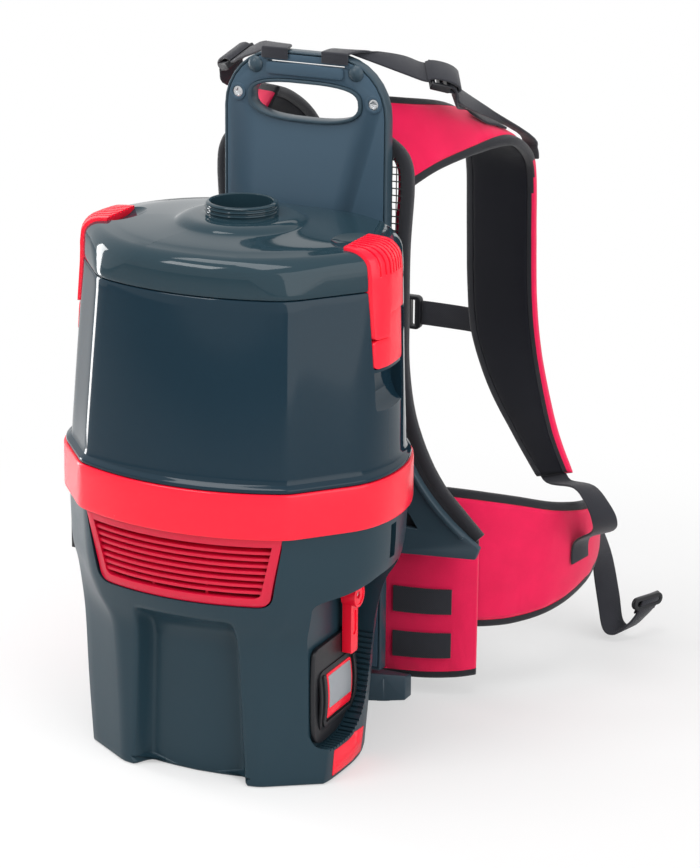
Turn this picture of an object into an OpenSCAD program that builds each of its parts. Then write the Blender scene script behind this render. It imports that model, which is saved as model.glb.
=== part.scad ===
/* [Housing] */
// Height of the seam between the canister and its lid
seam_z = 425; // [405:1:440]
// Height of the underside of the red band
band_z = 229; // [222:1:234]
// Height of the red band
band_h = 39; // [34:1:42]
// Half of the machine's width at the band
half_w = 152; // [146:1:156]
// Distance from the inlet's axis to the front of the band
front_bow = 133.5; // [130:0.5:136]
// Wall of the moulded shells
wall = 3; // [2.4:0.2:3.4]
// Depth of the hollow down the front of the housing
flute_depth = 20; // [12:1:22]

/* [Lid and inlet] */
// Height of the lid's boss above the seam
boss_rise = 44; // [40:1:48]
// Length of the threaded inlet above the boss
neck_len = 11.5; // [9:0.5:15]
// Outer radius of the inlet
neck_r = 29.3; // [27:0.1:31]
// Wall of the inlet
neck_wall = 3.8; // [3:0.2:5]
// How far the lid reaches down into the canister
spigot_len = 10; // [7:1:14]

/* [Latches] */
// Width of a latch along the side of the canister
latch_w = 50; // [44:1:54]
// Height of the latch pins above the floor
latch_pin_z = 392; // [386:1:396]
// Distance of the latch pins from the middle
latch_pin_x = 141; // [140:0.5:142]
// Radius of a latch pin
latch_pin_r = 2.5; // [2:0.1:3]

/* [Exhaust grille] */
// Half of the grille's width at its top
grille_top = 91; // [86:1:93]
// Half of the grille's width at its bottom
grille_bottom = 80; // [74:1:83]
// Height of the grille
grille_h = 62; // [56:1:64]
// Number of louvres
louvres = 7; // [5:1:9]
// Thickness of a louvre
louvre_t = 2.4; // [1.8:0.2:3]

/* [Battery] */
// Length of the battery along its slide
battery_l = 144; // [136:1:148]
// Width of the battery
battery_w = 77; // [70:1:78]
// Height of the battery
battery_h = 68; // [64:1:69]
// Clearance round the battery in its bay
battery_gap = 0.7; // [0.4:0.1:1]
// Length of the catch from its pin to its tip
catch_l = 53; // [52:0.5:53.5]
// Width of the catch's bar
catch_w = 9; // [8:0.5:10]
// Radius of the catch's pin
catch_pin_r = 4; // [3:0.2:4.6]

/* [Motor] */
// Radius of the motor's can
motor_r = 50; // [44:1:54]
// Radius of the impeller
impeller_r = 56; // [50:1:58]
// Number of blades on the impeller
blades = 9; // [6:1:12]
// Radius of the motor's shaft
shaft_r = 4; // [3:0.2:5]
// Running clearance of shafts and pins
run_gap = 0.05; // [0.03:0.01:0.08]

/* [Back frame] */
// Half of the frame's width
frame_w = 77.5; // [74:0.5:80]
// Height of the frame's top edge
frame_top = 584; // [578:1:592]
// Depth of the frame
frame_d = 12.3; // [11:0.1:14]
// Half length of the handle slot
slot_a = 54; // [50:1:56]
// Half height of the handle slot
slot_b = 18.5; // [16:0.5:19]
// Distance of the middle of the handle slot below the frame's top
slot_drop = 42.5; // [40:0.5:46]
// Distance of the two knobs below the frame's top
knob_drop = 14; // [13:0.5:16]
// Distance of each knob from the frame's side
knob_inset = 29.9; // [28:0.1:31]
// Radius of a knob
knob_r = 7.5; // [6:0.5:8.5]
// Distance of each screw from the frame's side
screw_inset = 13.1; // [12:0.1:15]

/* [Harness] */
// Thickness of the back pad
pad_t = 20; // [16:1:24]
// Thickness of a shoulder strap
strap_t = 13; // [10:1:15]
// Width of the webbing
webbing_w = 25; // [22:1:28]
// Thickness of the webbing
webbing_t = 2.2; // [1.8:0.2:2.6]
// Thickness of a hip wing
wing_t = 14; // [11:1:16]

/* [Hidden] */

slate = "#46535f";
gloss_slate = "#2b3a47";
red = "#ff3b50";
black = "#26262b";
red_cloth = "#d9103a";
steel = "#b8bcc0";

band_top = band_z + band_h;
seam_gap = 0.4;
seat = 0.2;
lip = 4.3;
side_y = -8;
back_depth = 112;
crease = [98, 110];
shoulder = [134, 68];
frame_y = 121.7;
frame_back = frame_y + frame_d;
slot_z = frame_top - slot_drop;
knob_z = frame_top - knob_drop;
knob_x = frame_w - knob_inset;
screw_x = frame_w - screw_inset;
screw_z = frame_top - 39.5;
pad_y = frame_back + 0.4;

// Plan sections: height, front, crease, shoulder, side and back, each from the inlet's axis
function section(z, front, crease_at, shoulder_at, side_at, back_at) =
    [z, front, crease_at, shoulder_at, side_at, back_at];
function band_section(z, inset) = section(z, front_bow - inset,
    crease - [inset * 0.6, inset], shoulder - [inset, inset * 0.4],
    [half_w - inset, side_y], [37, back_depth - inset]);
function drawn_in(s, d) = section(s[0], s[1] - d, s[2] - [d * 0.6, d], s[3] - [d, d * 0.5],
    s[4] - [d, 0], s[5] - [0, d]);
function lifted(s, z) = section(z, s[1], s[2], s[3], s[4], s[5]);

function bow_radius(s) = (s[2][0] * s[2][0] + pow(s[1] - s[2][1], 2)) / (2 * (s[1] - s[2][1]));
function bow(s, n) = let (r = bow_radius(s), a = asin(s[2][0] / r))
    [for (i = [0 : n - 1]) [r * sin(a * i / n), r - s[1] - r * cos(a * i / n)]];
function curve(p, q, r, n) = [for (i = [0 : n - 1]) let (t = i / n)
    (1 - t) * (1 - t) * p + 2 * t * (1 - t) * q + t * t * r];
function flank(s, n) = let (c = s[2], h = s[3], w = s[4],
        t = (w[0] - h[0]) / max(h[0] - c[0], 1), y = min(-h[1] + (c[1] - h[1]) * t, w[1] - 4))
    concat([[c[0], -c[1]]], curve([h[0], -h[1]], [w[0], y], w, n));
function rear(s, n) = let (w = s[4], b = s[5])
    [for (i = [0 : n]) [b[0] + (w[0] - b[0]) * cos(90 * i / n), w[1] + (b[1] - w[1]) * sin(90 * i / n)]];
function half_plan(s) = concat(bow(s, 6), flank(s, 4), rear(s, 7));
function plan(s) = let (h = half_plan(s), n = len(h))
    concat(h, [for (i = [n - 1 : -1 : 1]) [-h[i][0], h[i][1]]]);
function ring_of(s) = [for (p = plan(s)) [p[0], p[1], s[0]]];
function round_ring(r, z, s) = [for (p = plan(s)) let (a = atan2(p[1], p[0])) [r * cos(a), r * sin(a), z]];

// Joins rings of equal length into one closed skin; rings run anticlockwise from above, upwards
module skin(rings) {
    n = len(rings[0]);
    m = len(rings);
    polyhedron(points = [for (r = rings) for (p = r) p],
        faces = concat([[for (i = [0 : n - 1]) i]],
            [for (j = [0 : m - 2]) for (i = [0 : n - 1])
                [j * n + i, (j + 1) * n + i, (j + 1) * n + (i + 1) % n]],
            [for (j = [0 : m - 2]) for (i = [0 : n - 1])
                [j * n + i, (j + 1) * n + (i + 1) % n, j * n + (i + 1) % n]],
            [[for (i = [n - 1 : -1 : 0]) (m - 1) * n + i]]));
}
module loft(sections) {
    skin([for (s = sections) ring_of(s)]);
}
module slab_y(y0, y1) {
    translate([0, y1, 0]) rotate([90, 0, 0]) linear_extrude(y1 - y0) children();
}
module slab_x(x0, x1) {
    translate([x0, 0, 0]) rotate([90, 0, 90]) linear_extrude(x1 - x0) children();
}
module mirrored() {
    children();
    mirror([1, 0, 0]) children();
}
function arc(c, r, from, to, n) = [for (i = [0 : n]) let (a = from + (to - from) * i / n)
    [c[0] + r * cos(a), c[1] + r * sin(a)]];
function rounded(x0, y0, x1, y1, r) = concat(arc([x1 - r, y0 + r], r, -90, 0, 5),
    arc([x1 - r, y1 - r], r, 0, 90, 5), arc([x0 + r, y1 - r], r, 90, 180, 5),
    arc([x0 + r, y0 + r], r, 180, 270, 5));

// Lower housing
housing_sections = [
    section(0, front_bow - 29.5, [65, 98], [110, 68], [half_w - 38, -20], [20, 92]),
    section(60, front_bow - 28.5, [67, 98], [115, 66], [half_w - 33, -20], [20, 95]),
    section(110, front_bow - 27.5, [70, 98], [117.5, 65], [half_w - 29, -20], [20, 97]),
    section(130, front_bow - 25.5, [73, 99], [119, 65], [half_w - 26.5, -20], [20, 98]),
    section(150, front_bow - 17.5, [84, 101], [121, 66], [half_w - 22, -20], [20, 99]),
    section(165, front_bow - 11.5, [90, 102.5], [123.5, 66], [half_w - 16, -20], [22, 100]),
    section(178, front_bow - 8.5, [92, 104], [127, 66], [half_w - 9, -14], [30, 103]),
    section(192, front_bow - 6, [93.5, 105], [128.5, 66], [half_w - 6, -10], [34, 106]),
    section(band_z, front_bow - lip, [95, 107], [130, 66], [half_w - lip, side_y], [37, 108])];
spine_w = 38;
battery_y = -30.5;
battery_z = 40;
battery_out = half_w - 48;
battery_x = battery_out - battery_l;
bay_floor = battery_out - 4;
bay_back = battery_x - 4;
bay_top = battery_z + battery_h + battery_gap + 2.3;
bay_y0 = battery_y - battery_w / 2 - battery_gap;
bay_y1 = battery_y + battery_w / 2 + battery_gap;
bay_z0 = battery_z - battery_gap;
tag_x = half_w - 42.8;
bay_outline = [[-72, 33], [-60, 30.5], [-25, 32], [-6, 42], [4, 56], [9, 80], [12, 110], [14, 150],
    [12, 184], [-31, 181], [-65, 171], [-84, 165], [-82, 150], [-78, 123], [-77, 87], [-76.5, 48]];
bay_middle = [-32, 108];
function grown(points, middle, k) = [for (p = points) p + (p - middle) / norm(p - middle) * k];
tag_outline = [[-56, 4], [4, 4], [6, 27], [-20, 31], [-56, 31]];

function flute_ring(z, mouth, floor_y) = let (w = mouth - 10)
    [[-mouth - 19, -140, z], [mouth + 19, -140, z], [w + 3, floor_y - 3, z], [w, floor_y, z],
     [w * 0.5, floor_y - 4, z], [0, floor_y - 5.5, z], [-w * 0.5, floor_y - 4, z], [-w, floor_y, z],
     [-w - 3, floor_y - 3, z]];
module flute(extra) {
    f = -(front_bow - 29.5) + flute_depth + extra;
    skin([flute_ring(-1 - extra, 54 + extra, f), flute_ring(118 + extra, 49 + extra, f - 1.5),
        flute_ring(134 + extra, 48 + extra, f - 11), flute_ring(148 + extra, 47 + extra, f - 43)]);
}
module grille_window(top, bottom, low, high, r) {
    slab_y(-150, -60) polygon(concat([[-top, high], [-bottom, low + r]],
        arc([-bottom + r, low + r], r, 180, 270, 5), arc([bottom - r, low + r], r, 270, 360, 5),
        [[bottom, low + r], [top, high]]));
}
grille_low = band_z - 0.5 - grille_h;
grille_high = band_z - 0.5;
bow_y = 86.5;
grille_r0 = front_bow + bow_y - 11.5;
grille_r1 = front_bow + bow_y - 4;
grille_depth = 12;

module lower_housing() color(slate) difference() {
    union() {
        loft(housing_sections);
        translate([-spine_w, 80, 0]) cube([2 * spine_w, frame_y - 80, band_z]);
    }
    flute(0);
    difference() {
        union() {
            loft([for (i = [0 : len(housing_sections) - 1]) let (s = drawn_in(housing_sections[i], wall))
                i == 0 ? lifted(s, -1) : i == len(housing_sections) - 1 ? lifted(s, band_z + 1) : s]);
            translate([wall - spine_w, 70, -1]) cube([2 * (spine_w - wall), frame_y - wall - 70, band_z - 3]);
        }
        flute(wall);
        slab_x(bay_floor - wall, 200) polygon(grown(bay_outline, bay_middle, wall));
        slab_x(tag_x - wall - seat, 200) polygon(grown(tag_outline, [-25, 17], wall));
    }
    slab_x(bay_floor, 200) polygon(bay_outline);
    slab_x(bay_floor - 10, bay_floor + 1) polygon(rounded(bay_y0, bay_z0, bay_y1, bay_top - 2.3, 12));
    slab_x(tag_x - seat, 200) polygon(grown(tag_outline, [-25, 17], 0.25));
    grille_window(grille_top + 0.3, grille_bottom + 0.3, grille_low - 0.3, band_z + 1, 11);
    mirrored() translate([half_w - 10, -16, 192]) cube([20, 10, 30]);
    translate([-half_w, -30, rocker_z - 16.3]) cube([60, 36.6, 32.6]);
}

module base_cover() color(slate) difference() {
    linear_extrude(wall) polygon(plan(drawn_in(housing_sections[0], wall + seat)));
    flute(wall + seat);
    slab_x(tag_x - wall - 2 * seat, 200) polygon(grown(tag_outline, [-25, 17], wall + seat));
}

module red_band() color(red) difference() {
    loft([band_section(band_z, 1), band_section(band_z + 2, 0), band_section(band_top - 1.5, 0),
        band_section(band_top, 1)]);
    translate([0, 0, band_z - 1]) linear_extrude(10) polygon(plan(band_section(0, 14)));
    translate([0, 0, band_z + wall]) linear_extrude(band_h) polygon(plan(band_section(0, lip)));
}

// Exhaust grille and filter, all turned about one upright axis behind the bow
module turned(points) {
    translate([0, bow_y, 0]) rotate([0, 0, -90 - 29]) rotate_extrude(angle = 58, $fn = 90) polygon(points);
}
module louvre(i) {
    pitch = (grille_h - 20) / louvres;
    z = grille_low + 10 + pitch * (i + 0.5);
    r = grille_r0 + (grille_r1 - grille_r0) * (z - grille_low) / grille_h - 2;
    turned([[r, z - louvre_t / 2], [r, z + louvre_t / 2], [r - grille_depth + 3, z + pitch * 0.45],
        [r - grille_depth + 3, z + pitch * 0.45 - louvre_t]]);
}
module exhaust_grille() color(red) {
    difference() {
        intersection() {
            turned([[grille_r0 - grille_depth, grille_low], [grille_r0 - 1, grille_low],
                [grille_r0, grille_low + 2], [grille_r1, grille_high],
                [grille_r1 - grille_depth, grille_high]]);
            grille_window(grille_top, grille_bottom, grille_low, grille_high, 11);
        }
        grille_window(grille_top - 8, grille_bottom - 7, grille_low + 8, grille_high - 7, 7);
        turned([[grille_r1 - 3.4, grille_low + 4], [grille_r1 + 5, grille_low + 4],
            [grille_r1 + 5, grille_low + 4.8], [grille_r1 - 3.4, grille_low + 4.8]]);
    }
    intersection() {
        union() {
            for (i = [0 : louvres - 1]) louvre(i);
            for (a = [-20, -7, 7, 20]) translate([0, bow_y, 0]) rotate([0, 0, a])
                translate([-1, -grille_r0 + 5, grille_low + 6]) cube([2, 5, grille_h - 12]);
        }
        grille_window(grille_top - 8, grille_bottom - 7, grille_low + 8, grille_high - 7, 7);
    }
}
module exhaust_filter() color("#3a3d42") intersection() {
    r = grille_r0 - grille_depth - seat;
    turned([[r - 16, grille_low + 4], [r, grille_low + 4], [r, grille_high - 3], [r - 16, grille_high - 3]]);
    grille_window(grille_top - 3, grille_bottom - 3, grille_low + 3, grille_high - 2, 9);
}

// Canister with its beads, and what it holds
canister_sections = [
    band_section(band_top, 2.6), band_section(band_top + 3.5, 2), band_section(band_top + 6, 4),
    band_section(band_top + 8, 6.4),
    section(340, front_bow - 13.5, [91.5, 99], [127, 56], [half_w - 9, -10], [37, 107]),
    section(seam_z - 1.5, front_bow - 23.5, [88, 91], [124, 46], [half_w - 11, -12], [37, 106]),
    section(seam_z - seam_gap / 2, front_bow - 24.7, [87.5, 90], [123, 45.6], [half_w - 12, -12], [37, 105])];
rim = canister_sections[len(canister_sections) - 1];
latch_y = -10;
latch_back = latch_pin_x - 10;
pocket_x = latch_pin_x - 5.2;
latch_half = latch_w / 2;
module latch_seat(x, z0, z1, extra) {
    translate([x, latch_y - latch_half - extra, z0]) cube([60, latch_w + 2 * extra, z1 - z0]);
}
module scoop(extra) {
    translate([latch_back + 32, latch_y, 350]) rotate([0, 8, 0])
        rotate_extrude($fn = 36)
            polygon(concat([[0, 27 + extra], [0, -27 - extra]], arc([0, 0], 27 + extra, -90, 90, 12)));
}
seat_low = latch_pin_z - 37.5;
seat_high = latch_pin_z + 9.5;
module canister() color(gloss_slate) difference() {
    union() {
        loft(canister_sections);
        translate([0, 0, band_z + wall + 7]) linear_extrude(band_h - wall - 7)
            polygon(plan(band_section(0, lip + seat)));
    }
    translate([0, 0, band_z]) linear_extrude(band_h + 8) polygon(plan(band_section(0, lip + seat + wall)));
    difference() {
        loft([lifted(drawn_in(canister_sections[3], wall + 3), band_top + 7),
            drawn_in(canister_sections[4], wall + 3), lifted(drawn_in(rim, wall + 2), seam_z + 1)]);
        mirrored() {
            latch_seat(latch_back - wall, seat_low - 30, seat_high + wall, wall + 0.4);
            scoop(wall);
        }
    }
    mirrored() {
        latch_seat(latch_back, seat_low, seat_high, 0.4);
        latch_seat(pocket_x, seat_high - 1, seam_z + 1, 0.4);
        scoop(0);
    }
}

module motor_deck() color(slate) difference() {
    union() {
        translate([0, 0, band_z + wall]) linear_extrude(6.5) polygon(plan(band_section(0, lip + seat)));
        translate([0, 0, band_z + wall]) cylinder(r = 78, h = 14, $fn = 48);
    }
    translate([0, 0, band_z]) cylinder(r = 30, h = 40, $fn = 48);
    translate([0, 0, band_z + wall + 4]) cylinder(r = 70 + seat, h = 40, $fn = 48);
}
filter_z = band_z + wall + 4;
module main_filter() color("#d9d4c6") difference() {
    translate([0, 0, filter_z]) union() {
        cylinder(r = 70, h = 6, $fn = 48);
        cylinder(r = 60, h = 52, $fn = 48);
        for (i = [0 : 23]) rotate([0, 0, i * 15]) translate([58, -2, 6]) cube([6, 4, 42]);
        translate([0, 0, 48]) cylinder(r = 66, h = 5, $fn = 48);
    }
    translate([0, 0, filter_z - 1]) cylinder(r = 52, h = 47, $fn = 48);
}
bag_z = filter_z + 53 + seat;
bag_top = seam_z - 24;
module filter_bag() color("#efe9dc")
    skin([for (k = [0 : 5])
        let (t = k / 5, z = bag_z + (bag_top - bag_z) * t, r = 60 + 32 * sin(180 * min(t * 1.1, 1)))
        [for (i = [0 : 19]) [r * cos(i * 18), r * 0.9 * sin(i * 18), z]]]);

// Motor and fan, on one upright shaft
fan_z = band_z + wall - 34;
can_z = bay_top + 7;
module motor_can() color(steel) difference() {
    union() {
        translate([0, 0, can_z]) cylinder(r = motor_r, h = fan_z - can_z, $fn = 48);
        translate([0, 0, fan_z - 4]) cylinder(r = motor_r + 6, h = 4, $fn = 48);
    }
    translate([0, 0, can_z + wall]) difference() {
        cylinder(r = motor_r - wall, h = fan_z - can_z - 2 * wall, $fn = 48);
        cylinder(r = 15, h = 9, $fn = 32);
        translate([0, 0, fan_z - can_z - 2 * wall - 9]) cylinder(r = 15, h = 9, $fn = 32);
    }
    for (z = [can_z + wall, fan_z - wall - 9])
        translate([0, 0, z - 0.01]) cylinder(r = 11, h = 9.02, $fn = 32);
    translate([0, 0, can_z - 1]) cylinder(r = shaft_r + 1, h = fan_z, $fn = 32);
    for (i = [0 : 7]) rotate([0, 0, i * 45]) translate([motor_r - 8, -5, can_z + 20]) cube([20, 10, 26]);
}
module motor_bearings() color(steel) for (z = [can_z + wall, fan_z - wall - 9])
    translate([0, 0, z]) difference() {
    cylinder(r = 11, h = 9, $fn = 32);
    translate([0, 0, -1]) cylinder(r = shaft_r + run_gap, h = 11, $fn = 32);
}
module motor_stator() color("#8a5a2c") difference() {
    translate([0, 0, can_z + 50 - 34]) cylinder(r = motor_r - wall, h = 34, $fn = 48);
    translate([0, 0, can_z]) cylinder(r = 29, h = 90, $fn = 48);
    for (i = [0 : 5]) rotate([0, 0, i * 60 + 20]) translate([28, -4, can_z]) cube([11, 8, 90]);
}
module motor_mounts() color(black) for (p = [[-28, -34], [28, -34], [0, 0]])
    translate([p[0], p[1], bay_top]) difference() {
        cylinder(r = 9, h = can_z - bay_top, $fn = 32);
        translate([0, 0, 2]) rotate_extrude($fn = 32) translate([9, 1.8]) circle(r = 1.4, $fn = 16);
    }
module fan_shroud() color(steel) difference() {
    translate([0, 0, fan_z]) cylinder(r = impeller_r + 8, h = 34, $fn = 48);
    translate([0, 0, fan_z + wall]) cylinder(r = impeller_r + 5, h = 34 - 2 * wall, $fn = 48);
    translate([0, 0, fan_z - 1]) cylinder(r = shaft_r + 4, h = 10, $fn = 32);
    translate([0, 0, fan_z + 20]) cylinder(r = 26, h = 20, $fn = 48);
    translate([-24, -impeller_r - 20, fan_z + wall]) cube([48, 30, 34 - 2 * wall]);
}
module impeller() color("silver") difference() {
    union() {
        translate([0, 0, fan_z + 8]) cylinder(r = impeller_r, h = 2, $fn = 48);
        translate([0, 0, fan_z + 8]) cylinder(r = 10, h = 14, $fn = 32);
        translate([0, 0, fan_z + 21]) difference() {
            cylinder(r = impeller_r, h = 2, $fn = 48);
            translate([0, 0, -1]) cylinder(r = 24, h = 4, $fn = 48);
        }
        for (i = [0 : blades - 1]) rotate([0, 0, i * 360 / blades])
            translate([0, 0, fan_z + 10]) linear_extrude(11) difference() {
                translate([30, -22]) circle(r = 34, $fn = 40);
                translate([30, -22]) circle(r = 32.4, $fn = 40);
                translate([-20, -60]) square([34, 80]);
                translate([-20, -80]) square([120, 62]);
                translate([impeller_r - 8, -30]) square([40, 60]);
            }
    }
    translate([0, 0, fan_z]) cylinder(r = shaft_r, h = 40, $fn = 32);
}
module motor_shaft() color(steel) {
    translate([0, 0, can_z + 1]) cylinder(r = shaft_r, h = fan_z + 22 - can_z, $fn = 32);
    difference() {
        translate([0, 0, can_z + 17]) cylinder(r = 28, h = 32, $fn = 40);
        translate([0, 0, can_z]) cylinder(r = shaft_r, h = 90, $fn = 32);
    }
}

// Battery, its bay and its catch
module battery_bay() color(black) difference() {
    slab_x(bay_back, bay_floor - wall) polygon([[bay_y0 - 2.3, bay_z0 - 2.3], [bay_y1 + 2.3, bay_z0 - 2.3],
        [bay_y1 + 2.3, bay_top], [bay_y0 - 2.3, bay_top]]);
    slab_x(bay_back + 2.3, bay_floor) polygon(rounded(bay_y0, bay_z0, bay_y1, bay_top - 2.3, 12));
    for (i = [0 : 5]) translate([bay_back + 22 + i * 18, bay_y0 + 20, bay_z0 - 5])
        cube([8, bay_y1 - bay_y0 - 40, 10]);
}
terminal_ys = [-50, -38, -14, -2];
module battery_terminals() color("goldenrod") for (y = terminal_ys)
    translate([bay_back + 2.3, y - 0.6, battery_z + 20]) cube([8, 1.2, 16]);
module control_board() color("#1f6b45") {
    translate([bay_back - 6, -62, 46]) cube([1.6, 68, 58]);
    for (y = [-56, 0], z = [52, 98]) translate([bay_back - 4.4, y, z]) rotate([0, 90, 0])
        cylinder(r = 3, h = 4.4, $fn = 20);
    for (y = [-44, -28]) translate([bay_back - 16, y, 60]) rotate([0, 90, 0])
        cylinder(r = 7, h = 10, $fn = 24);
    translate([bay_back - 13, -14, 56]) cube([7, 14, 36]);
}
// The battery's outer end is domed between its lower and upper faces
dome_sag = 16;
dome_half = battery_h / 2;
dome_r = (dome_half * dome_half + dome_sag * dome_sag) / (2 * dome_sag);
battery_mid = battery_z + dome_half;
dome_turn = asin(dome_half / dome_r);
cap_l = 34;
module battery_profile() {
    y0 = battery_y - battery_w / 2;
    y1 = battery_y + battery_w / 2;
    z1 = battery_z + battery_h;
    slab_x(battery_x, battery_out + 16) polygon(concat(arc([y0 + 11, battery_z + 11], 11, 180, 270, 5),
        [[y1 - 20, battery_z], [y1 - 7.5, battery_z + 16], [y1 - 3, battery_z + 38]],
        arc([y1 - 11, z1 - 11], 11, 0, 90, 5), arc([y0 + 11, z1 - 11], 11, 90, 180, 5)));
}
module domed(x0, x1) {
    intersection() {
        battery_profile();
        translate([0, battery_y + battery_w, 0]) rotate([90, 0, 0]) linear_extrude(2 * battery_w)
            polygon(concat([[x0, battery_z - 1], [min(x1, battery_out - dome_sag), battery_z - 1]],
                x1 > battery_out - 1
                    ? arc([battery_out - dome_r, battery_mid], dome_r, -dome_turn, dome_turn, 10)
                    : [[x1, battery_z - 1], [x1, battery_z + battery_h + 1]],
                [[min(x1, battery_out - dome_sag), battery_z + battery_h + 1],
                 [x0, battery_z + battery_h + 1]]));
    }
}
module battery_case() color("#1d1f23") difference() {
    domed(battery_x, battery_out - cap_l);
    for (y = terminal_ys) translate([battery_x - 1, y - 1.4, battery_z + 18]) cube([12, 2.8, 20]);
    for (z = [battery_z, battery_z + battery_h], y = [battery_y - 24, battery_y + 24])
        translate([battery_x - 1, y - 3, z - 2]) cube([battery_l - cap_l + 2, 6, 4]);
}
module battery_cap() color("#2a2d33") difference() {
    domed(battery_out - cap_l, battery_out);
    translate([battery_out - 8, 0, 0]) slab_x(0, 20) difference() {
        polygon(rounded(battery_y - 27, battery_z + 9, battery_y + 22, battery_z + battery_h + 20, 9));
        polygon(rounded(battery_y - 24.5, battery_z + 11.5, battery_y + 19.5, battery_z + battery_h + 20, 7));
    }
    translate([battery_out - 1.4, battery_y - 20, battery_z + 22]) cube([10, 36, 26]);
}
catch_y = -14;
catch_z = battery_z + battery_h - 4 + catch_l;
catch_x0 = battery_out + 1;
catch_x1 = battery_out + 14;
module catch_pin() color(steel) translate([bay_floor, catch_y, catch_z]) rotate([0, 90, 0]) {
    cylinder(r = catch_pin_r, h = catch_x1 - bay_floor - 2, $fn = 32);
    cylinder(r = catch_pin_r + 3, h = catch_x0 - bay_floor - 0.4, $fn = 32);
}
module battery_catch() color(red) translate([0, catch_y, catch_z]) difference() {
    union() {
        translate([catch_x0, 0, 0]) rotate([0, 90, 0]) cylinder(r = 10.5, h = catch_x1 - catch_x0, $fn = 40);
        slab_x(catch_x0, catch_x1) polygon(concat([[catch_w / 2, 0]],
            arc([0, -catch_l + catch_w / 2], catch_w / 2, 360, 180, 8), [[-catch_w / 2, 0]]));
    }
    translate([catch_x0 - 1, 0, 0]) rotate([0, 90, 0]) cylinder(r = catch_pin_r + run_gap,
        h = catch_x1 - catch_x0 - 0.95, $fn = 32);
    translate([catch_x0 + 3, -8, -16]) cube([7, 4.2, 18]);
}
module corner_tag() color(red) intersection() {
    slab_x(tag_x, half_w) polygon(tag_outline);
    loft([for (s = [housing_sections[0], housing_sections[1]]) drawn_in(s, -0.6)]);
}

// Latches: a base and a pin on the canister, and a hook that swings out over the lid
hook_top = seam_z + 34;
module latch_plan(extra) {
    x = latch_pin_x + 6.5;
    y0 = latch_y - latch_w / 2;
    y1 = latch_y + latch_w / 2;
    linear_extrude(120) polygon(concat([[90, y0 + extra], [x - 12, y0 + extra]],
        arc([x - 9, y0 + 5 + extra], 5, -80, -20, 4),
        curve([x - 2, y0 + 12], [x + 1.5, latch_y], [x, y1 - 7], 5),
        arc([x - 6, y1 - 6 - extra], 6, 20, 90, 4), [[90, y1 - extra]]));
}
module knuckle(y0, y1, r) {
    translate([latch_pin_x, y1, latch_pin_z]) rotate([90, 0, 0]) cylinder(r = r, h = y1 - y0, $fn = 32);
}
knuckle_y = latch_y - 6;
knuckle_r = 6.4;
module hook_bore() {
    knuckle(latch_y - latch_w, latch_y + latch_w, latch_pin_r + run_gap);
}
module latch_hook_right() color(red) difference() {
    union() {
        intersection() {
            translate([0, 0, latch_pin_z - 30]) latch_plan(0.4);
            slab_y(-60, 60) polygon(concat(
                [[latch_pin_x - 3.6, latch_pin_z + 10], [latch_pin_x + 9, latch_pin_z + 10]],
                curve([latch_pin_x + 9, hook_top - 20], [latch_pin_x + 7.6, hook_top - 1],
                    [latch_pin_x - 13, hook_top], 7),
                curve([latch_pin_x - 13, hook_top], [latch_pin_x - 25, hook_top - 0.6],
                    [latch_pin_x - 33, hook_top - 5], 4),
                [[latch_pin_x - 33, hook_top - 9], [latch_pin_x - 20, hook_top - 7.6]],
                curve([latch_pin_x - 14, hook_top - 8.4], [latch_pin_x - 2.5, hook_top - 10],
                    [latch_pin_x - 1.4, hook_top - 22], 5),
                [[latch_pin_x - 1.4, latch_pin_z + 24]]));
        }
        knuckle(latch_y - latch_w / 2 + 0.4, knuckle_y - 0.3, knuckle_r);
        intersection() {
            translate([latch_pin_x - 4, latch_y - latch_w / 2 + 0.4, latch_pin_z])
                cube([13, latch_w / 2 - 6.7, 14]);
            translate([0, 0, latch_pin_z - 30]) latch_plan(0.4);
        }
    }
    hook_bore();
    for (i = [0 : 5]) translate([latch_pin_x - 17, latch_y - latch_w / 2 + 9 + i * 6.4, hook_top - 1])
        rotate([0, 14, 0]) cube([24, 1.6, 5]);
    translate([0, latch_y, latch_pin_z + 12.2]) rotate([0, 0, 0])
        translate([latch_pin_x - 10, -5.9, -26]) cube([24, latch_w / 2 + 8, 26]);
}
module latch_base_right() color(red) difference() {
    union() {
        intersection() {
            translate([0, 0, latch_pin_z - 37]) latch_plan(0.4);
            slab_y(-60, 60) polygon(concat(
                [[latch_back + seat, latch_pin_z - 8], [latch_back + seat, latch_pin_z - 37]],
                curve([latch_pin_x - 6, latch_pin_z - 37], [latch_pin_x + 7, latch_pin_z - 37],
                    [latch_pin_x + 9, latch_pin_z - 22], 6),
                [[latch_pin_x + 9, latch_pin_z - 8]]));
        }
        knuckle(knuckle_y + 0.3, latch_y + latch_w / 2 - 0.4, knuckle_r);
        translate([latch_back + seat, knuckle_y + 0.3, latch_pin_z - 10])
            cube([latch_pin_x - latch_back + 6, latch_w / 2 + 5.3, 10]);
    }
    hook_bore();
    translate([latch_pin_x - 9, latch_y - latch_w, latch_pin_z - 7]) cube([20, latch_w - 6, 30]);
}
module latch_hook_left() mirror([1, 0, 0]) latch_hook_right();
module latch_base_left() mirror([1, 0, 0]) latch_base_right();
module latch_pins() color(steel) mirrored()
    knuckle(latch_y - latch_w / 2 + 1, latch_y + latch_w / 2 - 1, latch_pin_r);

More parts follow.
